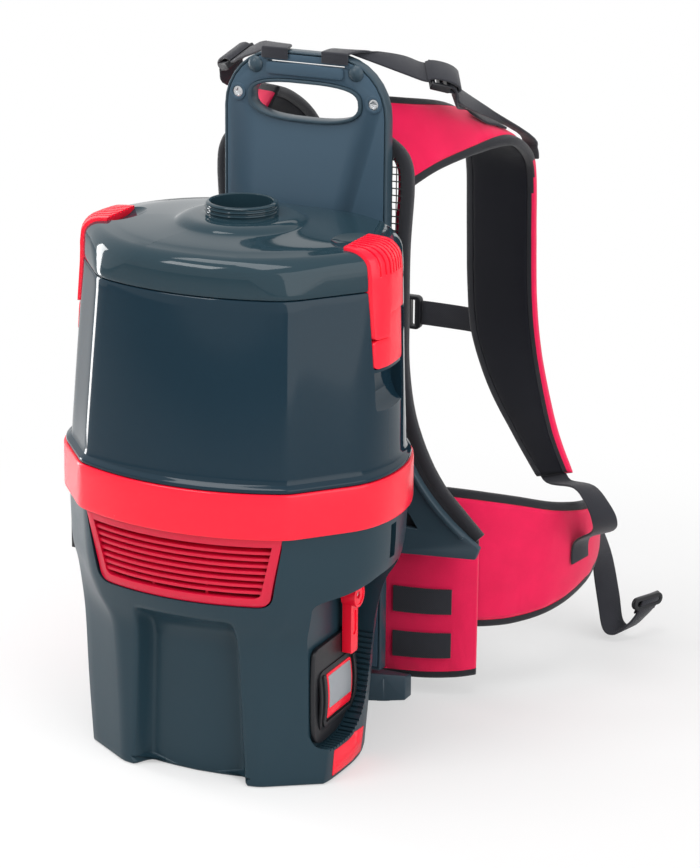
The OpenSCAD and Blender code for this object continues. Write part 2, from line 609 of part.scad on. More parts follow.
// Lid: skirt, rounded shoulder, shallow dome, boss and inlet
lid_sections = [
    lifted(drawn_in(rim, 0.6), seam_z + seam_gap / 2), lifted(drawn_in(rim, 0), seam_z + 2),
    lifted(drawn_in(rim, 0.6), seam_z + 14), lifted(drawn_in(rim, 3.4), seam_z + 20),
    lifted(drawn_in(rim, 9), seam_z + 23.4)];
module lid() color(gloss_slate) difference() {
    union() {
        skin(concat([for (s = lid_sections) ring_of(s)],
            [round_ring(78, seam_z + 30.5, rim), round_ring(54, seam_z + 33, rim),
             round_ring(44, seam_z + boss_rise - 1.5, rim), round_ring(41, seam_z + boss_rise, rim)]));
        translate([0, 0, seam_z - spigot_len]) linear_extrude(spigot_len + 1)
            polygon(plan(drawn_in(rim, wall + 3.4)));
        translate([0, 0, seam_z + boss_rise - 4]) cylinder(r = neck_r, h = neck_len + 4, $fn = 64);
        for (i = [0 : 2]) translate([0, 0, seam_z + boss_rise + 1.6 + i * 3.6])
            rotate_extrude($fn = 64)
                polygon([[neck_r - 1, -0.9], [neck_r + 1.3, -0.2], [neck_r + 1.3, 0.5], [neck_r - 1, 1.2]]);
    }
    translate([0, 0, seam_z - spigot_len - 1]) linear_extrude(spigot_len + 2)
        polygon(plan(drawn_in(rim, wall + 6.4)));
    skin([ring_of(lifted(drawn_in(rim, wall + 6.4), seam_z)),
        ring_of(lifted(drawn_in(rim, wall + 8), seam_z + 15)), round_ring(72, seam_z + 26, rim),
        round_ring(50, seam_z + 28, rim), round_ring(36, seam_z + 38, rim)]);
    translate([0, 0, seam_z]) cylinder(r = neck_r - neck_wall, h = 80, $fn = 64);
    mirrored() {
        translate([pocket_x, latch_y - latch_w / 2 - 0.8, seam_z - 20]) cube([40, latch_w + 1.6, 60]);
        translate([latch_pin_x - 46, latch_y - latch_w / 2 - 0.8, hook_top - 7]) rotate([0, 11, 0])
            cube([80, latch_w + 1.6, 40]);
        translate([latch_pin_x - 38, latch_y + 8, seam_z + 34]) rotate([0, 8, 0]) scale([1.1, 1.25, 0.42])
            rotate_extrude($fn = 28) polygon(concat([[0, 20], [0, -20]], arc([0, 0], 20, -90, 90, 10)));
    }
}
module lid_seal() color(black) translate([0, 0, seam_z - 4.6]) linear_extrude(4) difference() {
    polygon(plan(drawn_in(rim, wall + 2.3)));
    polygon(plan(drawn_in(rim, wall + 3.4)));
}

// Power switch on the side away from the battery
rocker_z = 176;
module rocker_bezel() color(black) translate([-half_w + 4, -11.7, rocker_z]) difference() {
    translate([-3.2, -18, -16]) cube([11, 36, 32]);
    translate([-5, -12, -10]) cube([10.2, 24, 20]);
}
module power_rocker() color(red) translate([-half_w + 9, -11.7, rocker_z]) rotate([0, 5, 0]) intersection() {
    rotate([90, 0, 0]) translate([0, 0, -11.5]) cylinder(r = 11, h = 23, $fn = 48);
    translate([-13, -11.5, -9.1]) cube([11.5, 23, 18.2]);
}

// Back frame: a tall rimmed shell with a cover panel, a bell below and a foot
function slot_outline(a, b) = [for (i = [0 : 35]) let (t = i * 10, c = cos(t), s = sin(t))
    [a * sign(c) * pow(abs(c), 0.72), slot_z + b * sign(s) * pow(abs(s), s > 0 ? 0.6 : 0.85)]];
function tall_outline(w, top, low, r) = concat([[-w, low], [w, low]],
    arc([w - r, top - r], r, 0, 90, 8), arc([r - w, top - r], r, 90, 180, 8));
bell_edge = curve([96, 240], [112, 196], [168, 158], 8);
bell_outline = concat([[0, 300], [frame_w, 300]], curve([frame_w, 300], [84, 262], [96, 240], 3), bell_edge,
    [[168, 158], [164, 147], [60, 140], [0, 140]]);
window_z0 = frame_top - 17.5;
rail_z = frame_top - 9;
module frame_cuts(y0, y1, a, b) {
    slab_y(y0, y1) polygon(slot_outline(a, b));
}
module back_frame() color(slate) difference() {
    union() {
        slab_y(frame_y, frame_back) polygon(tall_outline(frame_w, frame_top, 30.2, 52));
        mirrored() slab_y(frame_back - 6, frame_back) polygon(bell_outline);
        mirrored() for (i = [0 : len(bell_edge) - 2]) let (p = bell_edge[i], q = bell_edge[i + 1])
            slab_y(frame_back - 9, frame_back - 6) polygon([p, q, q - [3.2, 3.2], p - [3.2, 3.2]]);
    }
    slab_y(frame_y - 1, frame_y + 4) polygon(tall_outline(frame_w - 2.6, frame_top - 2.6, 33, 49.4));
    frame_cuts(frame_y - 2, frame_back + 1, slot_a, slot_b);
    slab_y(frame_y - 1, frame_back + 1)
        polygon([[-37, window_z0], [37, window_z0], [37, rail_z], [-37, rail_z]]);
    mirrored() slab_y(frame_back - 12, frame_back + 1) polygon([[86, 168], [86, 200], [108, 168]]);
    for (z = [60 : 62 : 480]) mirrored() translate([6, frame_back - 5, z]) cube([frame_w - 14, 6, 52]);
}
module frame_panel() color(slate) difference() {
    union() {
        slab_y(frame_y, frame_y + 3.6) polygon(tall_outline(frame_w - 3, frame_top - 3, 33.4, 49));
        slab_y(frame_y - 2.6, frame_y + 0.5) polygon(rounded(-36.5, window_z0 - 3, 36.5, window_z0 + 7, 3));
        for (x = [-screw_x, screw_x]) translate([x, frame_y + 1, screw_z]) rotate([90, 0, 0])
            cylinder(r = 7.6, h = 2.2, $fn = 32);
    }
    frame_cuts(frame_y - 5, frame_back, slot_a + 0.2, slot_b + 0.2);
    slab_y(frame_y - 1, frame_back)
        polygon([[-37, window_z0 + 7.2], [37, window_z0 + 7.2], [37, rail_z], [-37, rail_z]]);
    for (x = [-screw_x, screw_x]) translate([x, frame_y + 8, screw_z]) rotate([90, 0, 0])
        cylinder(r = 4.8, h = 12, $fn = 32);
    for (x = [-knob_x, knob_x]) translate([x, frame_y + 8, knob_z]) rotate([90, 0, 0])
        cylinder(r = 3.05, h = 12, $fn = 32);
}
module handle_sleeve() color(slate) difference() {
    slab_y(frame_y - 2.4, frame_back) polygon(slot_outline(slot_a - 0.1, slot_b - 0.1));
    slab_y(frame_y - 4, frame_back + 1) polygon(slot_outline(slot_a - 3.4, slot_b - 3));
}
module frame_knobs() color(slate) for (x = [-knob_x, knob_x])
    translate([x, frame_y, knob_z]) rotate([90, 0, 0]) {
    rotate_extrude($fn = 32)
        polygon(concat([[0, 0]], arc([0, -knob_r * tan(35)], knob_r / cos(35), 35, 90, 6)));
    translate([0, 0, -3.9]) cylinder(r = 3, h = 4, $fn = 32);
}
module frame_screws() color("silver") for (x = [-screw_x, screw_x])
    translate([x, frame_y + 3.9, screw_z]) rotate([90, 0, 0]) difference() {
        cylinder(r = 4.6, h = 4.2, $fn = 32);
        for (a = [0, 90]) rotate([0, 0, a]) translate([-3, -0.6, 3.2]) cube([6, 1.2, 2]);
    }
foot_back = 150;
lumbar_t = 11;
foot_front = [for (i = [0 : 6]) let (t = i / 6) [96 * t, 113 + 23 * t * t * t]];
module frame_foot() color(slate) difference() {
    linear_extrude(30) polygon(concat([for (p = foot_front) p], [[96, foot_back], [-96, foot_back]],
        [for (i = [6 : -1 : 1]) [-foot_front[i][0], foot_front[i][1]]]));
    translate([-spine_w - 0.2, 100, -1]) cube([2 * spine_w + 0.4, frame_y - 100, 40]);
    translate([-110, 105, 30]) rotate([-12, 0, 0]) cube([220, 60, 20]);
    for (x = [-80, -40, 4, 44]) translate([x, 126, -1]) cube([36, 18, 22]);
}

// Harness: soft pads, straps and webbing as plain closed forms
function unit(v) = v / norm(v);
function at(list, i) = list[min(max(i, 0), len(list) - 1)];
function face_normal(a, b, i) = let (run = at(a, i + 1) + at(b, i + 1) - at(a, i - 1) - at(b, i - 1))
    unit(cross(run, b[i] - a[i]));
function padded_ring(a, b, i, t) = let (w = b[i] - a[i], n = face_normal(a, b, i) * t / 2)
    [a[i], a[i] + w * 0.1 - n * 0.8, a[i] + w * 0.5 - n, b[i] - w * 0.1 - n * 0.8,
     b[i], b[i] - w * 0.1 + n * 0.8, a[i] + w * 0.5 + n, a[i] + w * 0.1 + n * 0.8];
function flat_ring(a, b, i, t) = let (n = face_normal(a, b, i) * t / 2)
    [a[i] - n, b[i] - n, b[i] + n, a[i] + n];
module padded_band(a, b, t) {
    skin([for (i = [0 : len(a) - 1]) padded_ring(a, b, i, t)]);
}
module tapered_band(a, b, t, root, tip) {
    n = len(a) - 1;
    skin([for (i = [0 : n]) padded_ring(a, b, i, t * min(root + i * 0.18, tip + (n - i) * 0.15, 1))]);
}
module webbing(a, b) {
    skin([for (i = [0 : len(a) - 1]) flat_ring(a, b, i, webbing_t)]);
}
// A point on one face of a padded band: u counts stations, k goes across, lift stands off the face
function over_face(a, b, i, k, t, lift) = let (n = face_normal(a, b, i) * sign(t),
        h = abs(t) / 2 * (0.8 + 0.2 * min(max(k - 0.1, 0), max(0.9 - k, 0)) / 0.4))
    a[i] + (b[i] - a[i]) * k + n * (h + lift);
function on_face(a, b, u, k, t, lift) = let (i = floor(u), f = u - i)
    over_face(a, b, i, k, t, lift) * (1 - f) + over_face(a, b, min(i + 1, len(a) - 1), k, t, lift) * f;
webbing_lift = 0.3 + webbing_t / 2;
function smooth(p) = concat([p[0]], [for (i = [0 : len(p) - 2]) for (k = [1 : 2]) let (t = k / 2,
        p0 = at(p, i - 1), p1 = p[i], p2 = p[i + 1], p3 = at(p, i + 2))
    0.5 * (2 * p1 + (p2 - p0) * t + (2 * p0 - 5 * p1 + 4 * p2 - p3) * t * t
        + (3 * p1 - p0 - 3 * p2 + p3) * t * t * t)]);

// Half outline of the back pad, from the top down: half width and height
pad_edge = [[34, 522], [60, 518], [80, 508], [91, 494], [94, 470], [91, 415], [91, 350], [92, 310],
    [98, 270], [110, 236], [126, 208], [146, 186], [166, 166]];
module back_pad() color(black) skin([for (k = [len(pad_edge) - 1 : -1 : 0]) let (w = pad_edge[k][0] - 10,
        z = pad_edge[k][1], crown = pad_t * 0.5)
    [for (p = [[-1, 0.3], [-0.94, 0.04], [0, 0], [0.94, 0.04], [1, 0.3], [0.95, 0.86],
            [0.5, 1], [0, 0.9], [-0.5, 1], [-0.95, 0.86]])
        [p[0] * w, pad_y + p[1] * pad_t, z]]]);
module pad_binding() color(black) mirrored() skin([for (k = [len(pad_edge) - 1 : -1 : 0])
    let (w = pad_edge[k][0], z = pad_edge[k][1], y = pad_y + 2)
    [for (p = [[-9.6, 0], [-2, 0], [0, 4], [0, 9], [-2, 12], [-9.2, 11]]) [w + p[0], y + p[1], z]]]);

lumbar_y = foot_back + 0.3 + lumbar_t / 2;
lumbar_half = [[40, 0], [96, 2], [128, 9], [146, 20]];
lumbar_run = concat([for (i = [3 : -1 : 0]) [-lumbar_half[i][0], lumbar_half[i][1]]], [[0, 0]], lumbar_half);
lumbar_a = [for (p = lumbar_run) [p[0], lumbar_y + p[1], 12 + 8 * pow(abs(p[0]) / 150, 2)]];
lumbar_b = [for (p = lumbar_a) [p[0], p[1], 148]];
module lumbar_pad() color(red_cloth) padded_band(lumbar_a, lumbar_b, lumbar_t);
module lumbar_patches() color(black) for (u = [[5, 6, 7], [1, 2, 3]], k = [0.16, 0.48])
    skin([for (i = u) let (a = on_face(lumbar_a, lumbar_b, i, k, lumbar_t, webbing_lift),
            b = on_face(lumbar_a, lumbar_b, i, k + webbing_w / 136, lumbar_t, webbing_lift),
            n = [0, -webbing_t / 2, 0])
        [a - n, b - n, b + n, a + n]]);

strap_root_y = pad_y + pad_t + 0.3 + strap_t * 0.15;
strap_inner = [[42, strap_root_y, 545], [66, 178, 541], [80, 212, 533], [77, 262, 515], [72, 300, 488],
    [70, 318, 455], [70, 322, 400], [72, 322, 340], [79, 318, 295], [103, 304, 250], [138, 284, 212],
    [166, 266, 186]];
strap_outer = [[84, strap_root_y, 466], [98, 188, 478], [118, 225, 487], [138, 262, 492], [140, 300, 474],
    [138, 318, 450], [138, 322, 396], [140, 322, 338], [147, 316, 296], [161, 300, 262], [182, 276, 226],
    [202, 262, 196]];
strap_a = smooth(strap_inner);
strap_b = smooth(strap_outer);
module shoulder_strap_right() color(red_cloth) tapered_band(strap_a, strap_b, strap_t, 0.3, 0.7);
module shoulder_strap_left() mirror([1, 0, 0]) shoulder_strap_right();

// Load lifter: looped over the frame's top rail, through a slide, and down onto the strap
slide_turn = [30, 15, 40];
slide_at = [97, 185, 561];
slide_l = 18;
function turned_by(v) = let (a = slide_turn, x = v[0], y = v[1] * cos(a[0]) - v[2] * sin(a[0]),
        z = v[1] * sin(a[0]) + v[2] * cos(a[0]), x2 = x * cos(a[1]) + z * sin(a[1]))
    [x2 * cos(a[2]) - y * sin(a[2]), x2 * sin(a[2]) + y * cos(a[2]), z * cos(a[1]) - x * sin(a[1])];
slide_run = turned_by([1, 0, 0]);
slide_side = turned_by([0, 1, 0]) * webbing_w / 2;
function slide_points(d, side) = slide_at + slide_run * d + slide_side * side;
rail_front = frame_y - 0.6 - webbing_t / 2;
rail_above = frame_top + 0.4 + webbing_t / 2;
function lifter_edge(x, x2, side) = [[x, rail_front, rail_above - 8], [x, rail_front, rail_above - 0.6],
    [x, rail_front + 1.6, rail_above + 0.6], [x2, frame_back + 2, rail_above + 0.6],
    [x2 + 12 - side * 4, frame_back + 12 + side * 10, rail_above - 2],
    slide_points(-32, side) + [0, 0, 3], slide_points(-slide_l / 2 - 8, side),
    slide_points(-slide_l / 2 - 0.4, side)];
function lifter_down(side, u, k) = [slide_points(slide_l / 2 + 0.4, side),
    slide_points(slide_l / 2 + 4, side), slide_points(slide_l / 2 + 7, side) - [0, 0, 5],
    slide_points(slide_l / 2 + 7, side) - [2, -8, 22 + 4 * side],
    on_face(strap_a, strap_b, u, k, -strap_t, webbing_lift + 3.5),
    on_face(strap_a, strap_b, u + 0.5, k + 0.12, -strap_t, webbing_lift + 2.4),
    on_face(strap_a, strap_b, u + 0.9, k + 0.22, -strap_t, webbing_lift + 1.9)];
module load_lifter_right() color(black) {
    webbing(lifter_edge(16, 20, -1), lifter_edge(16 + webbing_w, 20 + webbing_w, 1));
    webbing(lifter_down(-1, 5.6, 0.34), lifter_down(1, 5, 0.62));
}
module load_lifter_left() mirror([1, 0, 0]) load_lifter_right();
module lifter_buckle_right() color(black) translate(slide_at) rotate(slide_turn) difference() {
    translate([-slide_l / 2, -webbing_w / 2 - 4, -3.5]) cube([slide_l, webbing_w + 8, 7]);
    for (x = [-5.5, 1.5]) translate([x, -webbing_w / 2 - 0.5, -5]) cube([4, webbing_w + 1, 10]);
}
module lifter_buckle_left() mirror([1, 0, 0]) lifter_buckle_right();

// Sternum strap: laid on the fronts of both shoulder straps and joined by a buckle
sternum_u = [15, 16];
buckle_w = 44;
function sternum_edge(side) = let (u = sternum_u[side],
        a = on_face(strap_a, strap_b, u, 0.4, -strap_t, webbing_lift),
        b = on_face(strap_a, strap_b, u, 0.12, -strap_t, webbing_lift))
    [a, b, [b[0] - 18, b[1] + 4, b[2]], [buckle_w / 2 + 14, b[1] + 6, b[2]],
        [buckle_w / 2 + 0.3, b[1] + 6, b[2]]];
sternum_low = sternum_edge(1);
sternum_high = sternum_edge(0);
module sternum_strap() color(black) mirrored() webbing(sternum_low, sternum_high);
module sternum_buckle() color(black)
    translate([0, (sternum_low[4][1] + sternum_high[4][1]) / 2, (sternum_low[4][2] + sternum_high[4][2]) / 2])
    difference() {
        slab_y(-4, 4) polygon(rounded(-buckle_w / 2, -16, buckle_w / 2, 16, 5));
        for (s = [-1, 1]) translate([s * 14 - 2, -5, -12.5]) cube([4, 10, 25]);
    }

wing_root = lumbar_y + 17.6;
wing_low = [[118, wing_root, 66], [140, wing_root + 12, 62], [168, 208, 62], [192, 236, 68], [205, 271, 78],
    [206, 308, 88], [194, 344, 96]];
wing_high = [[118, wing_root + 1, 194], [140, wing_root + 14, 190], [168, 211, 182], [192, 239, 172],
    [205, 273, 164], [206, 308, 158], [194, 344, 150]];
wing_a = smooth(wing_low);
wing_b = smooth(wing_high);
module hip_wing_right() color(red_cloth) padded_band(wing_a, wing_b, wing_t);
module hip_wing_left() mirror([1, 0, 0]) hip_wing_right();

// Lower strap: from the tip of the shoulder strap round its adjuster and down onto the hip wing
strap_end = len(strap_a) - 1;
strap_tip_run = unit(strap_a[strap_end] - strap_a[strap_end - 1]);
function tip_point(k, d) = strap_a[strap_end] * (1 - k) + strap_b[strap_end] * k + strap_tip_run * d;
function on_wing(u, k, lift) = on_face(wing_a, wing_b, u, k, wing_t, webbing_lift + lift);
function lower_edge(k, u, turns) = concat([tip_point(k, 0.5), tip_point(k, 10)], turns,
    [on_wing(u, 0.62, 2), on_wing(u, 0.4, 0.4)]);
module lower_strap_right() color(black) webbing(
    lower_edge(0.15, 7, [[212, 240, 188], [230, 226, 178], [236, 226, 164], [232, 236, 150]]),
    lower_edge(0.85, 8.3, [[228, 252, 188], [247, 240, 178], [254, 242, 164], [248, 252, 150]]));
module lower_strap_left() mirror([1, 0, 0]) lower_strap_right();

// Belt end: webbing from the tip of the hip wing, down to the floor and up to its ring
wing_end = len(wing_a) - 1;
wing_tip_run = unit(wing_a[wing_end] - wing_a[wing_end - 1] + wing_b[wing_end] - wing_b[wing_end - 1]);
function wing_tip(k, d) = wing_a[wing_end] * (1 - k) + wing_b[wing_end] * k + wing_tip_run * d;
ring_at = [237.5, 381, 37];
module hip_webbing_right() color(black)
    webbing([wing_tip(0.26, 0.5), wing_tip(0.26, 9), [190, 360, 70], [196, 360, 34], [204, 354, 12], [214, 356, 8],
        [226, 364, 18], [232, 369, 28]],
        [wing_tip(0.72, 0.5), wing_tip(0.72, 9), [200, 378, 84], [210, 378, 44], [216, 376, 16], [226, 378, 12],
        [236, 386, 22], [242, 392, 30]]);
module hip_webbing_left() mirror([1, 0, 0]) hip_webbing_right();
module hip_ring_right() color(black) translate(ring_at) rotate([0, 0, 66]) difference() {
    slab_y(-2.5, 2.5) polygon(rounded(-19, -6, 19, 6, 5.8));
    slab_y(-4, 4) polygon(rounded(-15, -2.6, 15, 2.6, 2.5));
}
module hip_ring_left() mirror([1, 0, 0]) hip_ring_right();

lower_housing();
base_cover();
red_band();
exhaust_grille();
exhaust_filter();
canister();
motor_deck();
main_filter();
filter_bag();
motor_can();
motor_mounts();
motor_stator();
motor_bearings();
fan_shroud();
control_board();
battery_bay();
battery_terminals();
corner_tag();
latch_base_right();
latch_base_left();
latch_pins();
catch_pin();
back_frame();
frame_panel();
handle_sleeve();
frame_knobs();
frame_screws();
frame_foot();
back_pad();
pad_binding();
lumbar_pad();
lumbar_patches();
shoulder_strap_right();
shoulder_strap_left();
load_lifter_right();
load_lifter_left();
lifter_buckle_right();
lifter_buckle_left();
sternum_strap();
sternum_buckle();
hip_wing_right();
hip_wing_left();
lower_strap_right();
lower_strap_left();
hip_webbing_right();
hip_webbing_left();
hip_ring_right();
hip_ring_left();
lid();
lid_seal();
latch_hook_right();
latch_hook_left();
battery_case();
battery_cap();
battery_catch();
impeller();
motor_shaft();
power_rocker();
rocker_bezel();
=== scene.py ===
import bmesh
import bpy
import math
from mathutils import Matrix, Vector, noise


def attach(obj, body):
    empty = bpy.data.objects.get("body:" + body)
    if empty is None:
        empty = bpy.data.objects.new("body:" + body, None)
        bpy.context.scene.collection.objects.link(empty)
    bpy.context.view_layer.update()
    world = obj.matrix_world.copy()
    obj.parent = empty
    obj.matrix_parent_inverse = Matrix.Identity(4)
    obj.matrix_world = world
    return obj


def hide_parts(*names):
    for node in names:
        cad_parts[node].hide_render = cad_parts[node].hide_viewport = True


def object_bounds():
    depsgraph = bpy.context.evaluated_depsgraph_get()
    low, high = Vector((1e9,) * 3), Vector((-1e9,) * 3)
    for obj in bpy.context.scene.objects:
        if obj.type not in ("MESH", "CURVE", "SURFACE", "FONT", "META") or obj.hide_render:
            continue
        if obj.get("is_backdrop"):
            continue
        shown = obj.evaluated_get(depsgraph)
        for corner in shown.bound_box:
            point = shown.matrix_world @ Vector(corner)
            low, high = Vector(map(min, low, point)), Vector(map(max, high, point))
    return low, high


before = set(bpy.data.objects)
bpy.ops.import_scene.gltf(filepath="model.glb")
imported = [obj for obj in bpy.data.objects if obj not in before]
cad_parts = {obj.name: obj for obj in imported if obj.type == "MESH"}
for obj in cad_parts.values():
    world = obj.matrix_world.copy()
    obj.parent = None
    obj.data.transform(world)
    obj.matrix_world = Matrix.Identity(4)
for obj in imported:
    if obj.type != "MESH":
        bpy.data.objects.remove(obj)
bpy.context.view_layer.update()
scene = bpy.context.scene
mm = 0.001
sides = ((1, "right"), (-1, "left"))


# Small helpers for meshes, and what each piece stands for
def soften(piece, smoothAngle):
    piece.data.shade_smooth()
    piece.data.set_sharp_from_angle(angle=math.radians(smoothAngle))


def newMesh(name, bm, material, smoothAngle=32):
    bmesh.ops.recalc_face_normals(bm, faces=bm.faces)
    mesh = bpy.data.meshes.new(name)
    bm.to_mesh(mesh)
    bm.free()
    piece = bpy.data.objects.new(name, mesh)
    scene.collection.objects.link(piece)
    for item in material if isinstance(material, (list, tuple)) else [material]:
        mesh.materials.append(item)
    soften(piece, smoothAngle)
    return piece


def paint(piece, surface):
    piece.data.materials.clear()
    piece.data.materials.append(finish[surface])


def bakeModifiers(piece):
    bpy.context.view_layer.update()
    graph = bpy.context.evaluated_depsgraph_get()
    mesh = bpy.data.meshes.new_from_object(piece.evaluated_get(graph))
    piece.modifiers.clear()
    piece.data = mesh


def carve(piece, cutter, how="DIFFERENCE", solver="EXACT"):
    cut = piece.modifiers.new("cut", "BOOLEAN")
    cut.operation = how
    cut.solver = solver
    cut.object = cutter
    bakeModifiers(piece)
    bpy.data.objects.remove(cutter)


# Rounds the edges that turn by more than an angle
def ease(piece, width, segments, turn, smoothAngle=30):
    bevel = piece.modifiers.new("edges", "BEVEL")
    bevel.width = width * mm
    bevel.segments = segments
    bevel.limit_method = "ANGLE"
    bevel.angle_limit = math.radians(turn)
    bakeModifiers(piece)
    soften(piece, smoothAngle)


def fit(piece, body, slot, *nodes):
    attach(piece, body)
    if nodes:
        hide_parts(*nodes)
    return piece


# A closed row of points, pulled out ring by ring
def startLoop(bm, points):
    verts = [bm.verts.new(p) for p in points]
    for a, b in zip(verts, verts[1:] + verts[:1]):
        bm.edges.new((a, b))
    return verts


def loopEdges(bm, loop):
    return [bm.edges.get(pair) for pair in zip(loop, loop[1:] + loop[:1])]


def pullLoop(bm, loop, points):
    made = bmesh.ops.extrude_edge_only(bm, edges=loopEdges(bm, loop))["geom"]
    fresh = {tuple(v.co): v for v in made if isinstance(v, bmesh.types.BMVert)}
    out = [fresh[tuple(v.co)] for v in loop]
    for v, p in zip(out, points):
        v.co = p
    return out


def addLoft(bm, rings):
    first = last = startLoop(bm, rings[0])
    for ring in rings[1:]:
        last = pullLoop(bm, last, ring)
    return first, last


def capBoth(bm, first, last):
    bm.faces.new(first)
    bm.faces.new(last)


def loftRings(rings, endless=False):
    bm = bmesh.new()
    first, last = addLoft(bm, rings)
    if endless:
        bmesh.ops.bridge_loops(bm, edges=loopEdges(bm, first) + loopEdges(bm, last))
    else:
        capBoth(bm, first, last)
    return bm


# A box over its spans in x, y and z
def boxMesh(*spans):
    spans = [[v * mm for v in sorted(span)] for span in spans]
    bm = bmesh.new()
    bmesh.ops.create_cube(bm, size=1)
    bmesh.ops.scale(bm, verts=bm.verts, vec=[high - low for low, high in spans])
    bmesh.ops.translate(bm, verts=bm.verts, vec=[(low + high) / 2 for low, high in spans])
    return bm


# An outline in the two other axes, stood between start and end on one axis
def prism(outline, axis, start, end):
    place = {
        "x": lambda p, d: (d, p[0], p[1]),
        "y": lambda p, d: (p[0], d, p[1]),
        "z": lambda p, d: (p[0], p[1], d),
    }
    return loftRings([[Vector(place[axis](p, d)) * mm for p in outline] for d in (start, end)])


def rodMesh(bm, centre, axis, radius, length, segments):
    spin = Matrix.Rotation(math.radians(90), 4, "Y" if axis == "x" else "X")
    place = Matrix.Translation([c * mm for c in centre]) @ spin
    return bmesh.ops.create_cone(bm, cap_ends=True, segments=segments, radius1=radius * mm,
                                 radius2=radius * mm, depth=length * mm, matrix=place)["verts"]


def cutterFrom(bm, name="cutter"):
    return newMesh(name, bm, [])


def cutPrism(piece, outline, axis, start, end, how="DIFFERENCE", solver="EXACT"):
    carve(piece, cutterFrom(prism(outline, axis, start, end)), how, solver)


def rounded(x0, z0, x1, z1, r, steps=6):
    corners = [(x1 - r, z0 + r, -90), (x1 - r, z1 - r, 0), (x0 + r, z1 - r, 90), (x0 + r, z0 + r, 180)]
    out = []
    for cx, cz, start in corners:
        for i in range(steps + 1):
            a = math.radians(start + 90 * i / steps)
            out.append((cx + r * math.cos(a), cz + r * math.sin(a)))
    return out


# A closed outline with its corners rounded off
def roundedPath(points, r, steps=5):
    out = []
    for i, corner in enumerate(points):
        before, here, after = Vector(points[i - 1]), Vector(corner), Vector(points[(i + 1) % len(points)])
        a = here + (before - here).normalized() * min(r, (before - here).length * 0.45)
        b = here + (after - here).normalized() * min(r, (after - here).length * 0.45)
        for k in range(steps + 1):
            t = k / steps
            out.append((1 - t) ** 2 * a + 2 * t * (1 - t) * here + t * t * b)
    return [tuple(p) for p in out]


# A carried-over solid with its edges rounded, in place of the bare one
def easedCopy(node, body, surface, slot, width):
    bm = bmesh.new()
    bm.from_mesh(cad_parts[node].data)
    bmesh.ops.remove_doubles(bm, verts=bm.verts, dist=2e-6)
    bmesh.ops.dissolve_limit(bm, angle_limit=math.radians(1.2), verts=bm.verts, edges=bm.edges)
    piece = newMesh("eased_" + node, bm, finish[surface])
    ease(piece, width, 3 if width > 1 else 2, 38, 32)
    fit(piece, body, slot, node)


def nodeMaker(material):
    material.use_nodes = True
    tree = material.node_tree
    tree.nodes.clear()

    def add(kind, **values):
        node = tree.nodes.new(kind)
        for key, value in values.items():
            if key in node.inputs:
                node.inputs[key].default_value = value
            else:
                setattr(node, key, value)
        return node

    def link(a, aOut, b, bIn):
        tree.links.new(a.outputs[aOut], b.inputs[bIn])

    return add, link


def tone(hexColour, gain=1.0):
    value = [int(hexColour[i:i + 2], 16) / 255 for i in (1, 3, 5)]
    value = [c / 12.92 if c <= 0.04045 else ((c + 0.055) / 1.055) ** 2.4 for c in value]
    return [min(c * gain, 1) for c in value] + [1]


# A noise over the piece's own space
def noiseFrom(add, link, place, scale, detail, **more):
    cloud = add("ShaderNodeTexNoise", Scale=scale, Detail=detail, **more)
    link(place, "Object", cloud, "Vector")
    return cloud


# Roughness that a noise varies between two shares of its value
def unevenGloss(add, link, source, shader, roughness, least, most):
    gloss = add("ShaderNodeMapRange", **{"To Min": roughness * least, "To Max": roughness * most})
    link(source, "Fac", gloss, "Value")
    link(gloss, "Result", shader, "Roughness")


# Base colour between a darker and a lighter shade
def variedColour(add, link, source, sourceOut, shader, colour, spread):
    blend = add("ShaderNodeMix", data_type="RGBA")
    blend.inputs[6].default_value = tone(colour, 1 - spread)
    blend.inputs[7].default_value = tone(colour, 1 + spread)
    link(source, sourceOut, blend, 0)
    link(blend, 2, shader, "Base Color")


def startSurface(name, **values):
    material = bpy.data.materials.new(name)
    add, link = nodeMaker(material)
    shader = add("ShaderNodeBsdfPrincipled", **values)
    link(shader, "BSDF", add("ShaderNodeOutputMaterial"), "Surface")
    return material, add, link, shader, add("ShaderNodeTexCoord")


# Moulded plastic: a fine grain, a faint cloudiness and slightly uneven gloss
def mouldedPlastic(name, colour, roughness, grain=0.15, grainSize=0.0009, specular=0.5, mottle=0.05):
    material, add, link, shader, place = startSurface(name, **{"Specular IOR Level": specular})
    haze = noiseFrom(add, link, place, 14.0, 4.0, Roughness=0.6)
    variedColour(add, link, haze, "Fac", shader, colour, mottle)
    wear = noiseFrom(add, link, place, 60.0, 6.0, Roughness=0.65)
    unevenGloss(add, link, wear, shader, roughness, 0.85, 1.2)
    bump = add("ShaderNodeBump", Strength=grain, Distance=0.0002)
    link(noiseFrom(add, link, place, 1 / grainSize, 2.0, Roughness=0.5), "Fac", bump, "Height")
    link(bump, "Normal", shader, "Normal")
    return material


def metal(name, colour, roughness):
    material, add, link, shader, place = startSurface(name, Metallic=1.0)
    unevenGloss(add, link, noiseFrom(add, link, place, 400.0, 3.0), shader, roughness, 0.7, 1.3)
    shader.inputs["Base Color"].default_value = tone(colour)
    return material


